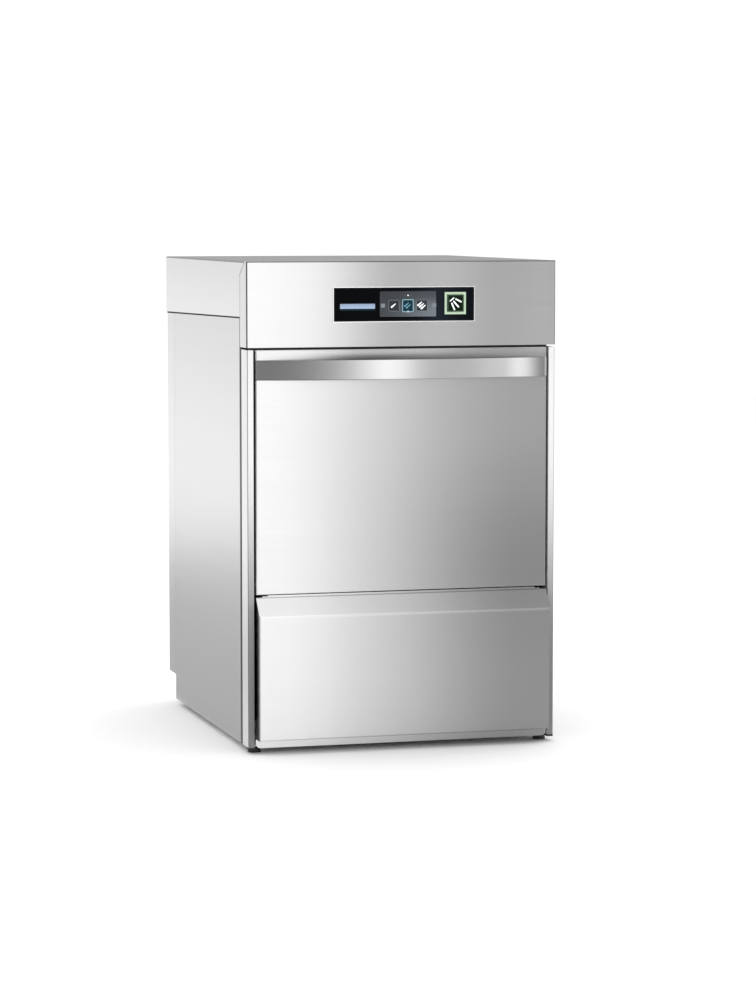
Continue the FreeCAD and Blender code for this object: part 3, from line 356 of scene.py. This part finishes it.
def cover_painted_light(steel):
    """Painted reflections, light on the skirt and grey on the roof, with painted shade lines at the mitre,
    the roof's edge and the bends.
    """
    skirt = steel.shade(steel.tone_along("Z", [(616, 0.97), (660, 0.9), (702, 0.8)]), steel.on_mitre(), 0.5)
    roof = steel.tone_along("Y", [(-250, 0.56), (284, 0.58)])
    roof_edge_shaded = steel.shade(skirt, steel.window("Z", 699.5, 700.1), 0.2)
    return steel.shade(steel.mix(steel.faces_up(), roof_edge_shaded, roof), steel.on_bends(), 0.3)


def handle_painted_light(steel):
    """Painted reflections: dark at the left, a bright patch left of the middle and another near the right
    end;
    painted shade outlines the ends and the lower edge.
    """
    face = steel.tone_along("X", [(-208, 0.62), (-181, 0.59), (-151, 0.59), (-121, 0.65), (-91, 0.7),
                                  (-62, 0.79), (-32, 1.0), (28, 0.97), (58, 1.0), (87, 0.94), (117, 0.75),
                                  (147, 0.6), (165, 0.95), (184, 1.2), (199, 0.85), (210, 0.62)])
    ends = steel.math("MAXIMUM", steel.window("X", 215.6, 216.2), steel.window("X", -215.6, -216.2))
    outline_shaded = steel.shade(face, ends, 0.4)
    return steel.shade(outline_shaded, steel.window("Z", 535.6, 534.8), 0.5)


def moulded_plastic(name, colour, rough, coat=0.0):
    """Moulded plastic with a fine spark-eroded texture and faint handling marks."""
    plastic = Shader(name, Coat_Weight=coat, Coat_Roughness=0.12)
    fine = plastic.noise((2600.0, 2600.0, 2600.0), 2.0)
    marks = plastic.noise((40.0, 60.0, 25.0), 3.0)
    darker = tuple(channel * 0.8 for channel in colour)
    lighter = tuple(min(1.0, channel * 1.25 + 0.004) for channel in colour)
    plastic.colour(plastic.ramp(marks, [(0.3, darker), (0.5, colour), (0.75, lighter)]))
    plastic.roughness(plastic.scale_to(marks, rough - 0.08, rough + 0.1))
    plastic.bump(fine, 0.25, 0.00004)
    return plastic.material


def lit(name, colour, strength, tone=None):
    """A printed or back-lit area under the display's glass."""
    glow = Shader(name, Emission_Strength=strength, Specular_IOR_Level=0.12)
    cells = glow.noise((420.0, 420.0, 420.0), 2.0)
    low = tuple(channel * 0.88 for channel in colour)
    tint = glow.ramp(cells, [(0.3, low), (0.7, colour)])
    if tone:
        tint = glow.times(tint, tone(glow))
    glow.colour(tint)
    glow.link(tint, glow.surface.inputs["Emission Color"])
    glow.roughness(glow.scale_to(cells, 0.22, 0.28))
    return glow.material


def brass():
    metal = Shader("brass", Metallic=1.0)
    cloud = metal.noise((90.0, 90.0, 90.0), 4.0)
    metal.colour(metal.ramp(cloud, [(0.3, (0.5, 0.33, 0.12)), (0.7, (0.72, 0.52, 0.24))]))
    metal.roughness(metal.scale_to(cloud, 0.22, 0.42))
    metal.bump(cloud, 0.2, 0.0001)
    return metal.material


def display_black():
    """Black-printed glass: deep gloss with a slightly blue, uneven depth and a paler patch by the key."""
    glass = Shader("display_black", Specular_IOR_Level=0.03)
    depth = glass.noise((9.0, 9.0, 14.0), 1.0)
    colour = glass.ramp(depth, [(0.3, (0.001, 0.0013, 0.0018)), (0.7, (0.0022, 0.0028, 0.004))])
    patch = glass.tone_along("X", [(-102, 0.6), (20, 1.0), (50, 9.0), (60, 7.0), (94, 2.0), (106, 2.0)])
    glass.colour(glass.times(colour, patch))
    glass.roughness(glass.scale_to(depth, 0.09, 0.14))
    return glass.material


def screen_tone(glow):
    """The lit screen: dim at the upper left, lighter towards the lower right."""
    upper = glow.tone_along("X", [(-34, 0.55), (0, 0.6), (30, 0.9), (50, 0.8)])
    lower = glow.tone_along("X", [(-34, 0.75), (-10, 0.9), (20, 1.8), (50, 2.6)])
    return glow.mix(glow.window("Z", 657, 628), upper, lower)


def bar_tone(glow):
    """The status bar, lighter along its lower edge."""
    return glow.tone_along("Z", [(634, 1.3), (641.4, 0.75)])


# noise scales of the grain: small along the brush strokes, large across them
ALONG_X = (6.0, 1500.0, 1500.0)
ALONG_Y = (1500.0, 6.0, 1500.0)
ALONG_Z = (1500.0, 1500.0, 6.0)
LEVEL = (6.0, 6.0, 1500.0)
# directions across the strokes, a little askew so that no face lies square to them
UPRIGHT = (0.03, 0.1, 1.0)
UPRIGHT_ON_ROOF = (0.1, 0.03, 1.0)
SIDEWAYS = (1.0, 1.0, 0.05)

MATERIALS = {
    "fascia_steel": brushed_steel("fascia_steel", ALONG_X, UPRIGHT, fascia_painted_light),
    "door_steel": brushed_steel("door_steel", ALONG_X, UPRIGHT, door_painted_light),
    "front_steel": brushed_steel("front_steel", ALONG_X, UPRIGHT, front_painted_light),
    "handle_steel": brushed_steel("handle_steel", ALONG_X, UPRIGHT, handle_painted_light, rough=0.23),
    "pillar_steel": brushed_steel("pillar_steel", ALONG_Z, SIDEWAYS, pillar_painted_light, rough=0.3, metal=0.15),
    "bezel_steel": brushed_steel("bezel_steel", ALONG_X, UPRIGHT, None, 0.94),
    "side_steel": brushed_steel("side_steel", ALONG_Y, UPRIGHT, side_painted_light),
    "hood_steel": brushed_steel("hood_steel", LEVEL, UPRIGHT, side_painted_light, 0.77),
    "cover_steel": brushed_steel("cover_steel", ALONG_Y, UPRIGHT_ON_ROOF, cover_painted_light),
    "tank_steel": brushed_steel("tank_steel", (60.0, 60.0, 60.0), UPRIGHT, None, 0.66, 0.3, 0.0),
    "pressed_steel": brushed_steel("pressed_steel", (90.0, 90.0, 90.0), UPRIGHT, None, 0.6, 0.33, 0.0),
    "hardware_steel": brushed_steel("hardware_steel", (500.0, 500.0, 500.0), UPRIGHT, None, 0.7, 0.18,
                                    0.0),
    # black sheets of painted shade for the gaps between parts
    "gap_shadow_black": moulded_plastic("gap_shadow_black", (0.012, 0.012, 0.012), 0.85),
    "black_plastic": moulded_plastic("black_plastic", (0.012, 0.012, 0.013), 0.5),
    "arm_plastic": moulded_plastic("arm_plastic", (0.05, 0.085, 0.15), 0.42),
    "pump_plastic": moulded_plastic("pump_plastic", (0.05, 0.05, 0.055), 0.5),
    "rubber": moulded_plastic("rubber", (0.02, 0.02, 0.02), 0.72),
    "motor_paint": moulded_plastic("motor_paint", (0.04, 0.06, 0.085), 0.38, 0.3),
    "circuit_board": moulded_plastic("circuit_board", (0.02, 0.12, 0.05), 0.35, 0.4),
    "brass": brass(),
    "display_black": display_black(),
    "key_green": lit("key_green", (0.001, 0.007, 0.002), 0.3),
    # a flat ring of painted shade standing for the key's bevel
    "key_bevel_shade": lit("key_bevel_shade", (0.022, 0.055, 0.025), 0.3),
    "key_light": lit("key_light", (0.43, 0.54, 0.4), 0.45),
    "lcd_glow": lit("lcd_glow", (0.055, 0.062, 0.07), 0.5, tone=screen_tone),
    "icon_white": lit("icon_white", (0.85, 0.88, 0.9), 0.8),
    "icon_grey": lit("icon_grey", (0.16, 0.18, 0.2), 0.5),
    "icon_pale": lit("icon_pale", (0.36, 0.44, 0.5), 0.6),
    "icon_blue": lit("icon_blue", (0.1, 0.24, 0.3), 0.6),
    "ring_blue": lit("ring_blue", (0.22, 0.37, 0.43), 0.6),
    "tile_dark": lit("tile_dark", (0.026, 0.03, 0.036), 0.3),
    "tile_blue": lit("tile_blue", (0.004, 0.024, 0.038), 0.4),
    "bar_blue": lit("bar_blue", (0.29, 0.37, 0.5), 0.3, tone=bar_tone),
}


NODE_MATERIALS = {
    "fascia_steel": ["control_fascia"],
    "bezel_steel": ["display_bezel"],
    "door_steel": ["door_outer_panel"],
    "front_steel": ["lower_front_panel", "bottom_rail"],
    "pillar_steel": ["pillar_left", "pillar_right"],
    "side_steel": ["side_panel_left", "side_panel_right"],
    "hood_steel": ["rear_cover"],
    "cover_steel": ["top_cover"],
    "tank_steel": ["wash_chamber", "wash_tank", "door_inner_panel", "surface_strainer", "fine_strainer",
                   "rack_rail_left", "rack_rail_right", "tank_heater"],
    "pressed_steel": ["base_tray", "back_panel", "hinge_arms", "hinge_blocks", "rinse_boiler",
                      "boiler_heater", "riser_pipe"],
    "hardware_steel": ["casing_screws", "hinge_pins", "door_springs"],
    "black_plastic": ["pillar_end_caps", "levelling_feet", "door_switch", "door_magnet", "controller_case",
                      "cable_gland", "hinge_bushes", "lcd_module"],
    "arm_plastic": ["lower_wash_arm", "lower_rinse_arm", "upper_wash_arm", "upper_rinse_arm"],
    "pump_plastic": ["wash_pump_volute", "drain_pump", "dosing_pumps", "dosing_rotor_detergent",
                     "dosing_rotor_rinse_aid", "drain_pump_rotor", "drain_outlet", "lower_arm_axle",
                     "upper_arm_axle"],
    "rubber": ["door_seal", "hoses"],
    "motor_paint": ["wash_pump_motor", "wash_pump_rotor"],
    "circuit_board": ["control_board"],
    "brass": ["inlet_valve"],
    "display_black": ["display_glass"],
    "key_green": ["start_button"],
    "key_light": ["start_light_frame"],
}


def paint(piece, name):
    piece.data.materials.clear()
    piece.data.materials.append(MATERIALS[name])


def paint_frame():
    for name, nodes in NODE_MATERIALS.items():
        for node in nodes:
            for slot in frame["nodes"][node].material_slots:
                slot.material = MATERIALS[name]


# ---- mesh helpers ------------------------------------------------------------------------------------

def mesh_piece(name, verts, faces, material, body, smooth=False):
    mesh = bpy.data.meshes.new(name)
    mesh.from_pydata([tuple(v) for v in verts], [], faces)
    mesh.update()
    piece = bpy.data.objects.new(name, mesh)
    bpy.context.collection.objects.link(piece)
    tidy = bmesh.new()
    tidy.from_mesh(mesh)
    bmesh.ops.recalc_face_normals(tidy, faces=tidy.faces)
    tidy.to_mesh(mesh)
    tidy.free()
    for face in mesh.polygons:
        face.use_smooth = smooth
    paint(piece, material)
    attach(piece, body)
    return piece


def slab(name, low, high, material):
    """A thin block on the cabinet, between two opposite corners."""
    verts = [(x, y, z) for x in (low[0], high[0]) for y in (low[1], high[1]) for z in (low[2], high[2])]
    faces = [(0, 1, 3, 2), (4, 6, 7, 5), (0, 4, 5, 1), (2, 3, 7, 6), (0, 2, 6, 4), (1, 5, 7, 3)]
    mesh_piece(name, verts, faces, material, "cabinet")


# ---- handle ------------------------------------------------------------------------------------------

def door_handle():
    """The bowed band: a folded sheet with soft edges, closed below and open above."""
    low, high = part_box("door_handle")
    half = high.x
    reach = high.y - low.y
    radius = (half ** 2 + reach ** 2) / (2 * reach)
    centre_y = low.y + radius
    thick = 2.0 * MM
    soft = 0.7 * MM
    nick = 0.2 * soft
    flat = 1.5 * soft
    steps = 96

    def section(depth_limit):
        """(depth behind the band's face, height): outside, over the top edge, inside, floor, underside."""
        floor_end = max(depth_limit, thick + soft)
        return [(soft, low.z), (nick, low.z + nick), (0.0, low.z + soft), (0.0, low.z + flat),
                (0.0, high.z - flat), (0.0, high.z - soft), (nick, high.z - nick), (soft, high.z),
                (thick - soft, high.z), (thick - nick, high.z - nick), (thick, high.z - soft),
                (thick, low.z + thick + soft), (thick + soft, low.z + thick), (floor_end, low.z + thick),
                (floor_end, low.z)]

    verts = []
    count = len(section(0.0))
    angle = math.asin(half / radius)
    for step in range(steps + 1):
        turn = angle * (2 * step / steps - 1)
        face = Vector((radius * math.sin(turn), centre_y - radius * math.cos(turn), 0))
        inward = Vector((-math.sin(turn), math.cos(turn), 0))
        room = (high.y - face.y) / math.cos(turn)
        for depth, height in section(room):
            point = face + inward * min(depth, max(room, 0.0))
            verts.append(Vector((max(-half, min(half, point.x)), point.y, height)))
    faces = []
    for step in range(steps):
        for index in range(count):
            follower = (index + 1) % count
            a, b = step * count, (step + 1) * count
            faces.append((a + index, a + follower, b + follower, b + index))
    faces.append(tuple(range(count)))
    faces.append(tuple(steps * count + index for index in range(count)))
    band = mesh_piece("door_handle_band", verts, faces, "handle_steel", "door", smooth=True)
    band.data.set_sharp_from_angle(angle=math.radians(50))
    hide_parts("door_handle")


# ---- shadow gaps -------------------------------------------------------------------------------------

def ribbon(name, x, route, width, thick):
    """A black sheet of painted shade in a gap, in a plane of constant X: route is (y, z) points along one
    edge of the ribbon.
    """
    side = math.copysign(1.0, x)
    verts, faces = [], []
    for index, (y, z) in enumerate(route):
        before = Vector(route[max(0, index - 1)])
        after = Vector(route[min(len(route) - 1, index + 1)])
        normal = (after - before).normalized()
        shift = Vector((-normal.y, normal.x)) * width
        for depth in (0.0, thick):
            verts.append((x + side * depth, y, z))
            verts.append((x + side * depth, y + shift.x, z + shift.y))
    for index in range(len(route) - 1):
        a, b = 4 * index, 4 * index + 4
        faces += [(a, a + 1, b + 1, b), (a + 2, b + 2, b + 3, a + 3), (a, b, b + 2, a + 2),
                  (a + 1, a + 3, b + 3, b + 1)]
    end = 4 * (len(route) - 1)
    faces += [(0, 2, 3, 1), (end, end + 1, end + 3, end + 2)]
    return mesh_piece(name, verts, faces, "gap_shadow_black", "cabinet")


PILLAR_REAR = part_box("control_fascia")[0].y + 37.4 * MM
INSET = 0.5 * MM             # from the side panel's face to a sheet of painted shade
SHADE_SHEET = 0.3 * MM            # a painted-shade sheet's thickness
SKIRT_RISE = 7.0 * MM        # of the skirt's lower edge, from the rear to the fascia
BEHIND_FASCIA = 0.2 * MM
MITRE_AHEAD = 28.0 * MM      # the mitre's upper end, ahead of the fascia's rear edge
MITRE_TOP = 2.0 * MM         # and below the roof
MITRE_DROP = 20.0 * MM       # its lower end, below the roof


def seams():
    """Black sheets of painted shade in the gaps between pillar and side panel, under the skirt and at the
    mitre.
    """
    cover_low, cover_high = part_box("top_cover")
    fascia_low, fascia_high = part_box("control_fascia")
    hood_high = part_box("rear_cover")[1]
    for side, node in ((-1, "side_panel_left"), (1, "side_panel_right")):
        low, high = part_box(node)
        panel_face = max(abs(low.x), abs(high.x))
        shade_sheet_face = side * (panel_face - INSET)
        groove = low.y - PILLAR_REAR
        ribbon(f"pillar_seam_{side + 2}", shade_sheet_face,
               [(PILLAR_REAR, low.z), (PILLAR_REAR, fascia_low.z)], -groove, SHADE_SHEET)
        front_edge = fascia_high.y + INSET
        slope = SKIRT_RISE / (cover_high.y - front_edge)
        start_z = cover_low.z + SKIRT_RISE
        end_z = start_z - slope * (hood_high.y - front_edge)
        ribbon(f"skirt_seam_{side + 2}", side * panel_face, [(low.y, start_z), (hood_high.y, end_z)],
               -2.4 * MM, 0.08 * MM)
        return_edge = fascia_high.y + BEHIND_FASCIA
        ribbon(f"return_seam_{side + 2}", shade_sheet_face, [(return_edge, fascia_low.z), (return_edge, start_z)],
               -(low.y - fascia_high.y - BEHIND_FASCIA), SHADE_SHEET)
        ribbon(f"mitre_seam_{side + 2}", side * (cover_high.x - 0.45 * MM),
               [(fascia_high.y - MITRE_AHEAD, fascia_high.z - MITRE_TOP),
                (fascia_high.y, fascia_high.z - MITRE_DROP), (fascia_high.y, start_z)], 1.3 * MM, SHADE_SHEET)


def door_gap():
    """A black sheet of painted shade in the gap between the door's top edge and the fascia."""
    fascia_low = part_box("control_fascia")[0]
    door_low, door_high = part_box("door_outer_panel")
    near = door_low.y + 2.5 * MM
    low = door_high.z + 0.5 * MM
    high = fascia_low.z - 0.1 * MM
    slab("door_gap", (door_low.x, near, low), (door_high.x, near + MM, high), "gap_shadow_black")


def sill():
    """The thin upper edge of the lower panel's lip, just under the door."""
    door_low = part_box("door_outer_panel")[0]
    panel_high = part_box("lower_front_panel")[1]
    low, high = panel_high.z - 0.1 * MM, door_low.z - 0.5 * MM
    near, far = door_low.y, door_low.y + 0.3 * MM
    half = 200 * MM
    slab("sill_edge", (-half, near, low), (half, far, high), "front_steel")


# ---- display graphics --------------------------------------------------------------------------------

GLASS_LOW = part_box("display_glass")[0]
GLASS_FACE = GLASS_LOW.y
PRINT = 0.06 * MM            # a printed layer's thickness
CORNER_STEPS = 6


def on_glass(across, up):
    """X and Z of a place given in millimetres from the display's lower left corner."""
    return GLASS_LOW.x + across * MM, GLASS_LOW.z + up * MM


def layer(lift):
    """The Y of a printed layer's underside, counted from 1 on the glass."""
    return GLASS_FACE - (lift - 1) * PRINT


def rounded_outline(left, right, low, high, radius):
    corners = [(right - radius, high - radius, 0), (left + radius, high - radius, 90),
               (left + radius, low + radius, 180), (right - radius, low + radius, 270)]
    outline = []
    for x, z, start in corners:
        for step in range(CORNER_STEPS + 1):
            turn = math.radians(start + 90 * step / CORNER_STEPS)
            outline.append((x + radius * math.cos(turn), z + radius * math.sin(turn)))
    return outline


def raised(name, outline, face, material, body="cabinet"):
    """A thin printed area: a closed outline in X and Z, lifted off the glass."""
    count = len(outline)
    verts = [(x, face, z) for x, z in outline] + [(x, face - PRINT, z) for x, z in outline]
    faces = [tuple(range(count)), tuple(range(2 * count - 1, count - 1, -1))]
    faces += [(n, (n + 1) % count, count + (n + 1) % count, count + n) for n in range(count)]
    mesh_piece(name, verts, faces, material, body)


def tile(name, left, right, low, high, material, lift=1, radius=1.0):
    """A rounded printed rectangle, given in millimetres from the display's lower left corner."""
    (x_low, z_low), (x_high, z_high) = on_glass(left, low), on_glass(right, high)
    raised(name, rounded_outline(x_low, x_high, z_low, z_high, radius * MM), layer(lift), material)


def mesh_ring(name, across, up, width, face, material, body="cabinet"):
    """A thin rounded frame printed on a face: across and up are its limits, all in metres."""
    outer = rounded_outline(across[0], across[1], up[0], up[1], 1.3 * MM)
    inner = rounded_outline(across[0] + width, across[1] - width, up[0] + width, up[1] - width, 0.8 * MM)
    count = len(outer)
    verts = [(x, y, z) for y in (face, face - PRINT) for loop in (outer, inner) for x, z in loop]
    faces = []
    for n in range(count):
        m = (n + 1) % count
        faces.append((n, m, count + m, count + n))
        faces.append((2 * count + n, 3 * count + n, 3 * count + m, 2 * count + m))
        faces.append((n, 2 * count + n, 2 * count + m, m))
        faces.append((count + n, count + m, 3 * count + m, 3 * count + n))
    mesh_piece(name, verts, faces, material, body)


def ring(name, left, right, low, high, width, material, lift):
    """A printed frame, given in millimetres from the display's lower left corner."""
    (x_low, z_low), (x_high, z_high) = on_glass(left, low), on_glass(right, high)
    mesh_ring(name, (x_low, x_high), (z_low, z_high), width * MM, layer(lift), material)


def stroke(name, start, end, width, material, face, body="cabinet", end_width=None):
    """A straight bar with round ends, in millimetres from the display's lower left corner."""
    a, b = Vector(on_glass(*start)), Vector(on_glass(*end))
    heading = math.atan2(b.y - a.y, b.x - a.x)
    outline = []
    for centre, half, start_turn in ((b, (end_width or width) / 2 * MM, -90), (a, width / 2 * MM, 90)):
        for step in range(7):
            turn = heading + math.radians(start_turn + 30 * step)
            outline.append((centre.x + half * math.cos(turn), centre.y + half * math.sin(turn)))
    raised(name, outline, face, material, body)


PROGRAM_TILES = ((80.8, 96.8), (101.2, 118.0), (122.5, 138.6))
CHOSEN_PROGRAM = 1
CHOSEN_HEIGHTS = (13.0, 31.0)
OTHER_HEIGHTS = (14.2, 30.2)
ICON_HEIGHT = 22.4
PAGE_DOTS = (105.5, 109.8, 114.1)
BRIGHT_DOT = 1
DOT_HEIGHT = 36.8
BAR_LEFT, BAR_RIGHT = 9.2, 60.8
TAB_HEIGHTS = (19.6, 25.2)


def display_graphics():
    """A lit panel with three program tiles, page dots, side tabs and a blue status bar."""
    tile("screen_panel", 68.0, 151.6, 6.4, 42.7, "lcd_glow", radius=1.4)
    ring("glass_rim", 1.0, 207.7, 1.0, 47.2, 0.3, "tile_dark", lift=1)
    tile("status_bar", BAR_LEFT, BAR_RIGHT, 18.3, 25.2, "bar_blue", radius=0.4)
    tile("status_shadow", BAR_LEFT, BAR_RIGHT, 15.9, 18.1, "tile_blue", radius=0.4)
    for index, limits in enumerate(PROGRAM_TILES):
        chosen = index == CHOSEN_PROGRAM
        heights = CHOSEN_HEIGHTS if chosen else OTHER_HEIGHTS
        tile(f"program_tile_{index}", *limits, *heights, "tile_blue" if chosen else "tile_dark", lift=2)
        ring(f"program_ring_{index}", *limits, *heights, 1.0 if chosen else 0.5,
             "ring_blue" if chosen else "icon_grey", lift=3)
        middle = sum(limits) / 2
        for line in range(index + 1):
            shift = line - index / 2
            across, up = middle - 0.6 + 2.6 * shift, ICON_HEIGHT - 2.3 * shift
            stroke(f"program_icon_{index}_{line}", (across - 2.8, up - 2.2), (across + 2.8, up + 2.4), 2.3,
                   "icon_blue" if chosen else "icon_white", layer(4), end_width=1.0)
    for index, x in enumerate(PAGE_DOTS):
        bright = index == BRIGHT_DOT
        size = 0.9 if bright else 0.5
        tile(f"page_dot_{index}", x - size, x + size, DOT_HEIGHT - size, DOT_HEIGHT + size,
             "icon_white" if bright else "icon_grey", lift=2, radius=size * 0.98)
    tile("pointer", 108.3, 111.2, 12.2, 15.1, "icon_pale", lift=4, radius=1.4)
    tile("tab_left", 69.4, 75.6, *TAB_HEIGHTS, "icon_grey", lift=2, radius=0.5)
    tile("tab_right", 145.8, 151.9, *TAB_HEIGHTS, "icon_grey", lift=2, radius=0.5)


def start_symbol():
    """A flat ring of painted shade on the key where its bevel is, and a nozzle with three jets on it."""
    low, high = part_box("start_button")
    centre_x = ((low.x + high.x) / 2 - GLASS_LOW.x) / MM
    centre_z = ((low.z + high.z) / 2 - GLASS_LOW.z) / MM
    lines = [((-8.2, 3.2), (-2.8, 7.5), 1.5), ((-5.8, -0.3), (-1.7, -9.2), 2.0),
             ((-2.9, 2.5), (4.2, -5.2), 2.0), ((0.4, 5.8), (8.0, 2.0), 2.0)]
    mesh_ring("key_bevel_shade", (low.x, high.x), (low.z, high.z), 1.8 * MM, low.y, "key_bevel_shade", "start_button")
    for index, (start, end, width) in enumerate(lines):
        stroke(f"start_symbol_{index}", (centre_x + start[0], centre_z + start[1]),
               (centre_x + end[0], centre_z + end[1]), width, "icon_white", low.y, "start_button")


# ---- studio ------------------------------------------------------------------------------------------

def white_glow(name, strength):
    material = bpy.data.materials.new(name)
    material.use_nodes = True
    nodes = material.node_tree.nodes
    nodes.clear()
    glow = nodes.new("ShaderNodeEmission")
    glow.inputs["Color"].default_value = (1.0, 1.0, 1.0, 1.0)
    glow.inputs["Strength"].default_value = strength
    output = nodes.new("ShaderNodeOutputMaterial")
    material.node_tree.links.new(glow.outputs["Emission"], output.inputs["Surface"])
    return material


def floor():
    bpy.ops.mesh.primitive_circle_add(vertices=96, radius=9.0, fill_type="NGON", location=(0, 0, 0))
    ground = bpy.context.object
    ground.name = "floor"
    paper = Shader("floor_paper", Roughness=0.9, Specular_IOR_Level=0.1)
    tone = paper.noise((1.5, 1.5, 1.5), 2.0)
    paper.colour(paper.ramp(tone, [(0.2, mixed_grey(0.978)), (0.8, mixed_grey(0.984))]))
    ground.data.materials.append(paper.material)


# (azimuth in degrees from straight ahead of the door towards +X, brightness) round the front of the set
CARD_LEVELS = [(-80, 0.5), (-40, 0.2), (-14, 0.22), (-2, 0.6), (6, 1.43), (13.2, 1.43), (17.0, 0.62),
               (21, 0.45), (30, 0.5), (35, 1.4), (40, 1.4), (45, 0.25), (60, 0.2), (80, 0.5)]
CARD_RADIUS = 3.2
CARD_LOW = -1.0
CARD_HIGH = 2.4
CARD_STEP = 1.5              # degrees that one card spans


def mirror_card(name, corners, level):
    """A plain panel that only reflections see."""
    mesh = bpy.data.meshes.new(name)
    mesh.from_pydata(corners, [], [(0, 1, 2, 3)])
    card = bpy.data.objects.new(name, mesh)
    bpy.context.collection.objects.link(card)
    card.data.materials.append(white_glow(name, level))
    card.visible_camera = False
    card.visible_diffuse = False
    card.visible_shadow = False
    card.visible_transmission = False


def reflection_cards():
    """Upright cards round the front, bright and dark by turns."""
    for index, ((first, before), (last, after)) in enumerate(zip(CARD_LEVELS, CARD_LEVELS[1:])):
        slices = max(1, round((last - first) / CARD_STEP))
        for part in range(slices):
            level = before + (after - before) * (part + 0.5) / slices
            turns = [math.radians(first + (last - first) * (part + edge) / slices) for edge in (0, 1)]
            corners = [(CARD_RADIUS * math.sin(turn), -CARD_RADIUS * math.cos(turn), height)
                       for turn, height in ((turns[0], CARD_LOW), (turns[1], CARD_LOW),
                                            (turns[1], CARD_HIGH), (turns[0], CARD_HIGH))]
            mirror_card(f"card_{index}_{part}", corners, level)


def grey_cards():
    """A grey wall behind the machine for the roof to reflect, and a grey sheet on the floor for its side."""
    mirror_card("card_rear", [(-0.1, 1.6, 0.4), (1.4, 1.6, 0.4), (1.4, 1.6, 2.0), (-0.1, 1.6, 2.0)], 0.52)
    mirror_card("card_low", [(-1.3, -0.25, 0.004), (-0.24, -0.25, 0.004), (-0.24, 2.4, 0.004),
                              (-1.3, 2.4, 0.004)], 0.7)


def world():
    """White all round, a shade greyer straight overhead."""
    sky = bpy.data.worlds.new("studio")
    sky.use_nodes = True
    nodes = sky.node_tree.nodes
    links = sky.node_tree.links
    background = nodes["Background"]
    place = nodes.new("ShaderNodeTexCoord")
    split = nodes.new("ShaderNodeSeparateXYZ")
    ramp = nodes.new("ShaderNodeValToRGB")
    links.new(place.outputs["Generated"], split.inputs["Vector"])
    links.new(split.outputs["Z"], ramp.inputs["Fac"])
    elements = ramp.color_ramp.elements
    elements[0].position = 0.3
    elements[0].color = (1.0, 1.0, 1.0, 1.0)
    elements[1].position = 0.9
    elements[1].color = (0.96, 0.96, 0.96, 1.0)
    links.new(ramp.outputs["Color"], background.inputs["Color"])
    background.inputs["Strength"].default_value = 1.055
    bpy.context.scene.world = sky


def softbox(name, place, target, size, power):
    light = bpy.data.lights.new(name, "AREA")
    light.shape = "RECTANGLE"
    light.size, light.size_y = size
    light.energy = power
    lamp = bpy.data.objects.new(name, light)
    bpy.context.collection.objects.link(lamp)
    lamp.location = place
    lamp.rotation_euler = (Vector(target) - Vector(place)).to_track_quat("-Z", "Y").to_euler()
    lamp.visible_camera = False
    lamp.visible_glossy = False


SENSOR = 36.0
LENS = 115.74
YAW, PITCH = math.radians(15.719), math.radians(5.195)
FROM_CORNER = Vector((-1.0604, -4.4535, 0.0732))     # from the casing's front left top corner


def camera():
    """At the left of the door, a little above its top, with a long lens and no shift."""
    data = bpy.data.cameras.new("camera")
    data.sensor_fit = "VERTICAL"
    data.sensor_height = SENSOR
    data.sensor_width = SENSOR
    data.lens = LENS
    data.clip_end = 60.0
    seen = bpy.data.objects.new("camera", data)
    bpy.context.collection.objects.link(seen)
    low, high = CAD_BOX
    seen.location = Vector((low.x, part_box("control_fascia")[0].y, high.z)) + FROM_CORNER
    ahead = Vector((math.sin(YAW) * math.cos(PITCH), math.cos(YAW) * math.cos(PITCH), -math.sin(PITCH)))
    seen.rotation_euler = ahead.to_track_quat("-Z", "Y").to_euler()
    bpy.context.scene.camera = seen


def studio():
    floor()
    reflection_cards()
    grey_cards()
    world()
    softbox("key", (-2.6, 0.2, 3.2), (0.0, 0.0, 0.3), (2.4, 2.4), 17.0)
    softbox("top", (0.6, 1.4, 4.2), (0.0, 0.2, 0.0), (4.0, 4.0), 36.0)
    softbox("right", (2.4, 0.3, 1.6), (0.7, -0.1, 0.0), (1.6, 1.6), 11.0)
    settings = bpy.context.scene.view_settings
    settings.view_transform = "Standard"
    settings.look = "None"
    settings.exposure = 0.0
    settings.gamma = 1.0


# ---- scene -------------------------------------------------------------------------------------------

camera()
studio()
paint_frame()
door_handle()
seams()
door_gap()
sill()
display_graphics()
start_symbol()
